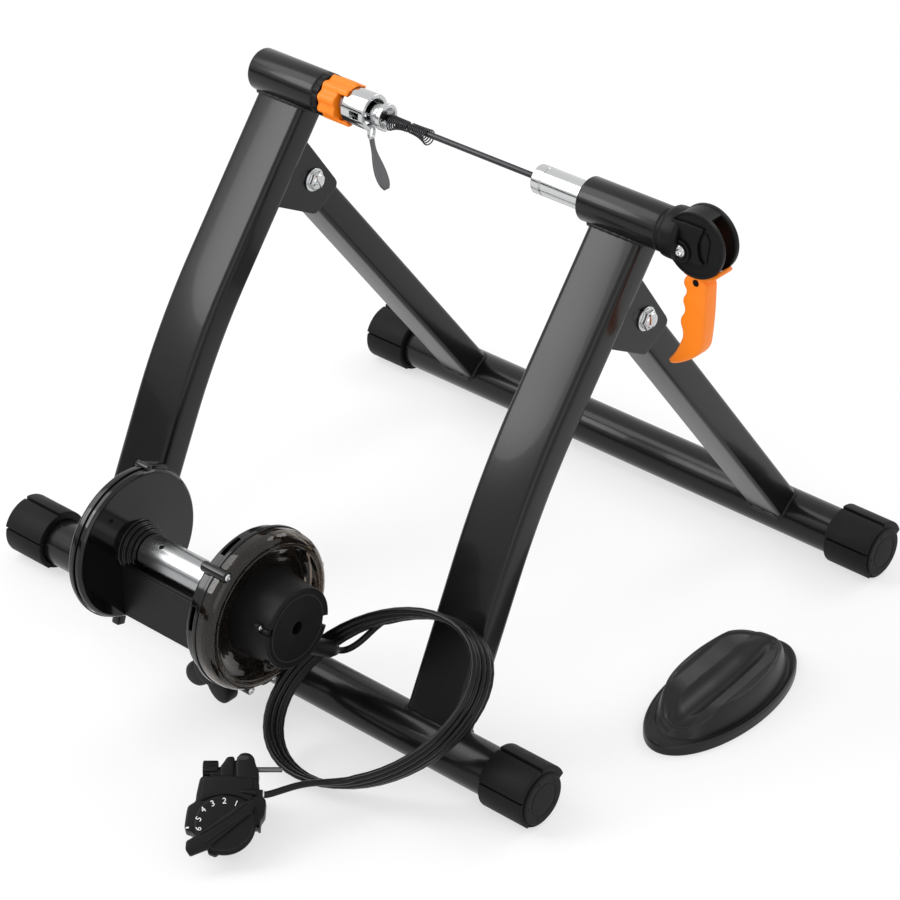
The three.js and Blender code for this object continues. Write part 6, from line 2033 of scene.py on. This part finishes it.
@dataclass
class Studio:
    """Camera, pale floor and soft lights."""

    azimuth: float = radians(41.55)
    elevation: float = radians(31.82)
    distance: float = 2.5834
    lens: float = 131.4
    aim: Triple = (0.0003, 0.2071, 0.1078)
    floor_size: float = 12.0
    lamps: tuple[tuple[str, Triple, float, float], ...] = (
        ("key", (-1.4, -0.9, 2.4), 1.8, 26.0), ("fill", (2.2, -2.0, 1.4), 2.2, 12.0),
        ("rim", (0.6, 2.4, 1.9), 1.6, 18.0), ("front_soft", (-1.35, -1.5, 1.45), 0.9, 14.0))
    lamp_aim: Triple = (0, 0, 0.2)
    card: tuple[Triple, float, float] = ((-2.3, -2.9, 0.2), 5.0, 0.5)
    floor_glow: float = 0.62
    room_light: float = 0.75

    def build(self, datums: Datums) -> None:
        """Makes the camera, the floor, the lamps and the world."""
        self._camera(datums)
        self._floor()
        for name, place, size, power in self.lamps:
            lamp = bpy.data.lights.new(name, "AREA")
            lamp.shape, lamp.size, lamp.energy = "DISK", size, power
            holder = linked(name, lamp)
            holder.location = place
            holder.rotation_mode = "QUATERNION"
            holder.rotation_quaternion = (Vector(self.lamp_aim) - Vector(place)).to_track_quat("-Z", "Y")
        self._dark_card()
        self._world()
        bpy.context.scene.view_settings.view_transform = "Standard"

    def _camera(self, datums: Datums) -> None:
        """The camera at the photograph's angle."""
        level = cos(self.elevation)
        way = Vector((-sin(self.azimuth) * level, cos(self.azimuth) * level, -sin(self.elevation)))
        aim = Vector(self.aim) + Vector((datums.bar.x, datums.bar.y, 0))
        data = bpy.data.cameras.new("camera")
        data.lens, data.sensor_width = self.lens, 36.0
        data.clip_start, data.clip_end = 0.1, 60.0
        holder = linked("camera", data)
        holder.location = aim - way * self.distance
        holder.rotation_mode = "QUATERNION"
        holder.rotation_quaternion = way.to_track_quat("-Z", "Y")
        bpy.context.scene.camera = holder

    def _floor(self) -> None:
        """A pale floor that keeps the shadow and reads near white."""
        half = self.floor_size / 2
        corners = [(x, y, -0.0002) for x, y in rectangle(half, half)]
        floor = mesh_object("studio_floor", corners, [(0, 1, 2, 3)])
        material = bpy.data.materials.new("studio_floor")
        material.use_nodes = True
        nodes, made = Nodes(material.node_tree), material.node_tree.nodes
        shader = made["Principled BSDF"]
        plain = {"Base Color": (0.9, 0.9, 0.9, 1), "Roughness": 0.9, "Specular IOR Level": 0.1}
        for label, value in plain.items():
            nodes.feed(shader.inputs[label], value)
        glow = nodes.add("ShaderNodeEmission", {"Strength": 1.0})
        path = nodes.add("ShaderNodeLightPath").outputs
        seen = nodes.maths("MAXIMUM", path["Is Camera Ray"], path["Is Glossy Ray"])
        share = nodes.maths("MULTIPLY", seen, self.floor_glow)
        mix = nodes.add("ShaderNodeMixShader", {0: share, 1: shader.outputs[0], 2: glow.outputs[0]})
        nodes.feed(made["Material Output"].inputs["Surface"], mix.outputs[0])
        floor.data.materials.append(material)

    def _dark_card(self) -> None:
        """A dark strip that only shiny things mirror, as a dark line along them."""
        (x, y, z), width, height = self.card
        corners = [(-width / 2, 0, 0), (width / 2, 0, 0), (width / 2, 0, height), (-width / 2, 0, height)]
        card = mesh_object("studio_dark_card", corners, [(0, 1, 2, 3)])
        card.data.transform(Matrix.Translation((x, y, z)) @ Matrix.Rotation(atan2(-x, y) + pi, 4, "Z"))
        card.data.materials.append(bpy.data.materials["socket_dark"])
        card.visible_camera = card.visible_diffuse = card.visible_shadow = False

    def _world(self) -> None:
        """A white room that glossy things mirror, and that lights softly."""
        world = bpy.data.worlds.new("studio")
        world.use_nodes = True
        bpy.context.scene.world = world
        nodes = Nodes(world.node_tree)
        back = world.node_tree.nodes["Background"].inputs
        nodes.feed(back["Color"], (1, 1, 1, 1))
        path = nodes.add("ShaderNodeLightPath").outputs
        clear = nodes.maths("MAXIMUM", path["Is Glossy Ray"], path["Is Transmission Ray"])
        seen = nodes.maths("MAXIMUM", path["Is Camera Ray"], clear)
        room = {"Value": seen, "To Min": self.room_light, "To Max": 1.0}
        nodes.feed(back["Strength"], nodes.add("ShaderNodeMapRange", room).outputs[0])


KEPT_SOLIDS = {
    "left_gusset_inner": Slot.PAINT, "left_gusset_outer": Slot.PAINT, "right_gusset_inner": Slot.PAINT,
    "right_gusset_outer": Slot.PAINT, "tilt_arm": Slot.PAINT, "tilt_bracket": Slot.PAINT,
    "thrust_ring": Slot.PLASTIC, "cam_housing": Slot.PLASTIC, "unit_beam": Slot.PLASTIC,
    "cam_pin": Slot.STEEL, "left_bearing": Slot.STEEL, "right_bearing": Slot.STEEL, "flywheel": Slot.STEEL,
    "eddy_disc": Slot.STEEL, "magnet_carrier": Slot.DARK_STEEL}

CAPS = {"rear_right_cap": 1, "rear_left_cap": -1, "front_right_cap": 1, "front_left_cap": -1}


def main() -> None:
    """Builds every sub-assembly in order round the frame."""
    logging.basicConfig(level=logging.INFO, format="%(name)s: %(message)s")
    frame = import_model()
    grain_group()
    wear_group()
    soften_group()
    for finish in FINISHES:
        finish.build()
    datums = Datums.from_frame()
    Studio().build(datums)
    Cable(datums).build()
    for node, slot in KEPT_SOLIDS.items():
        dress_solid(frame["nodes"][node], SLOT_FINISH[slot])
    caps = (LevellingCap(datums, node, side=side) for node, side in CAPS.items())
    assemblies = (
        FrameTubes(datums), PivotHardware(datums), LeftClamp(datums), RightClamp(datums),
        ResistanceUnit(datums), TiltGear(datums), Remote(datums, joints=frame["joints"]), Riser(datums))
    for assembly in (*caps, *assemblies):
        assembly.build()
        LOG.info("built %s", type(assembly).__name__)


if __name__ == "__main__":
    main()
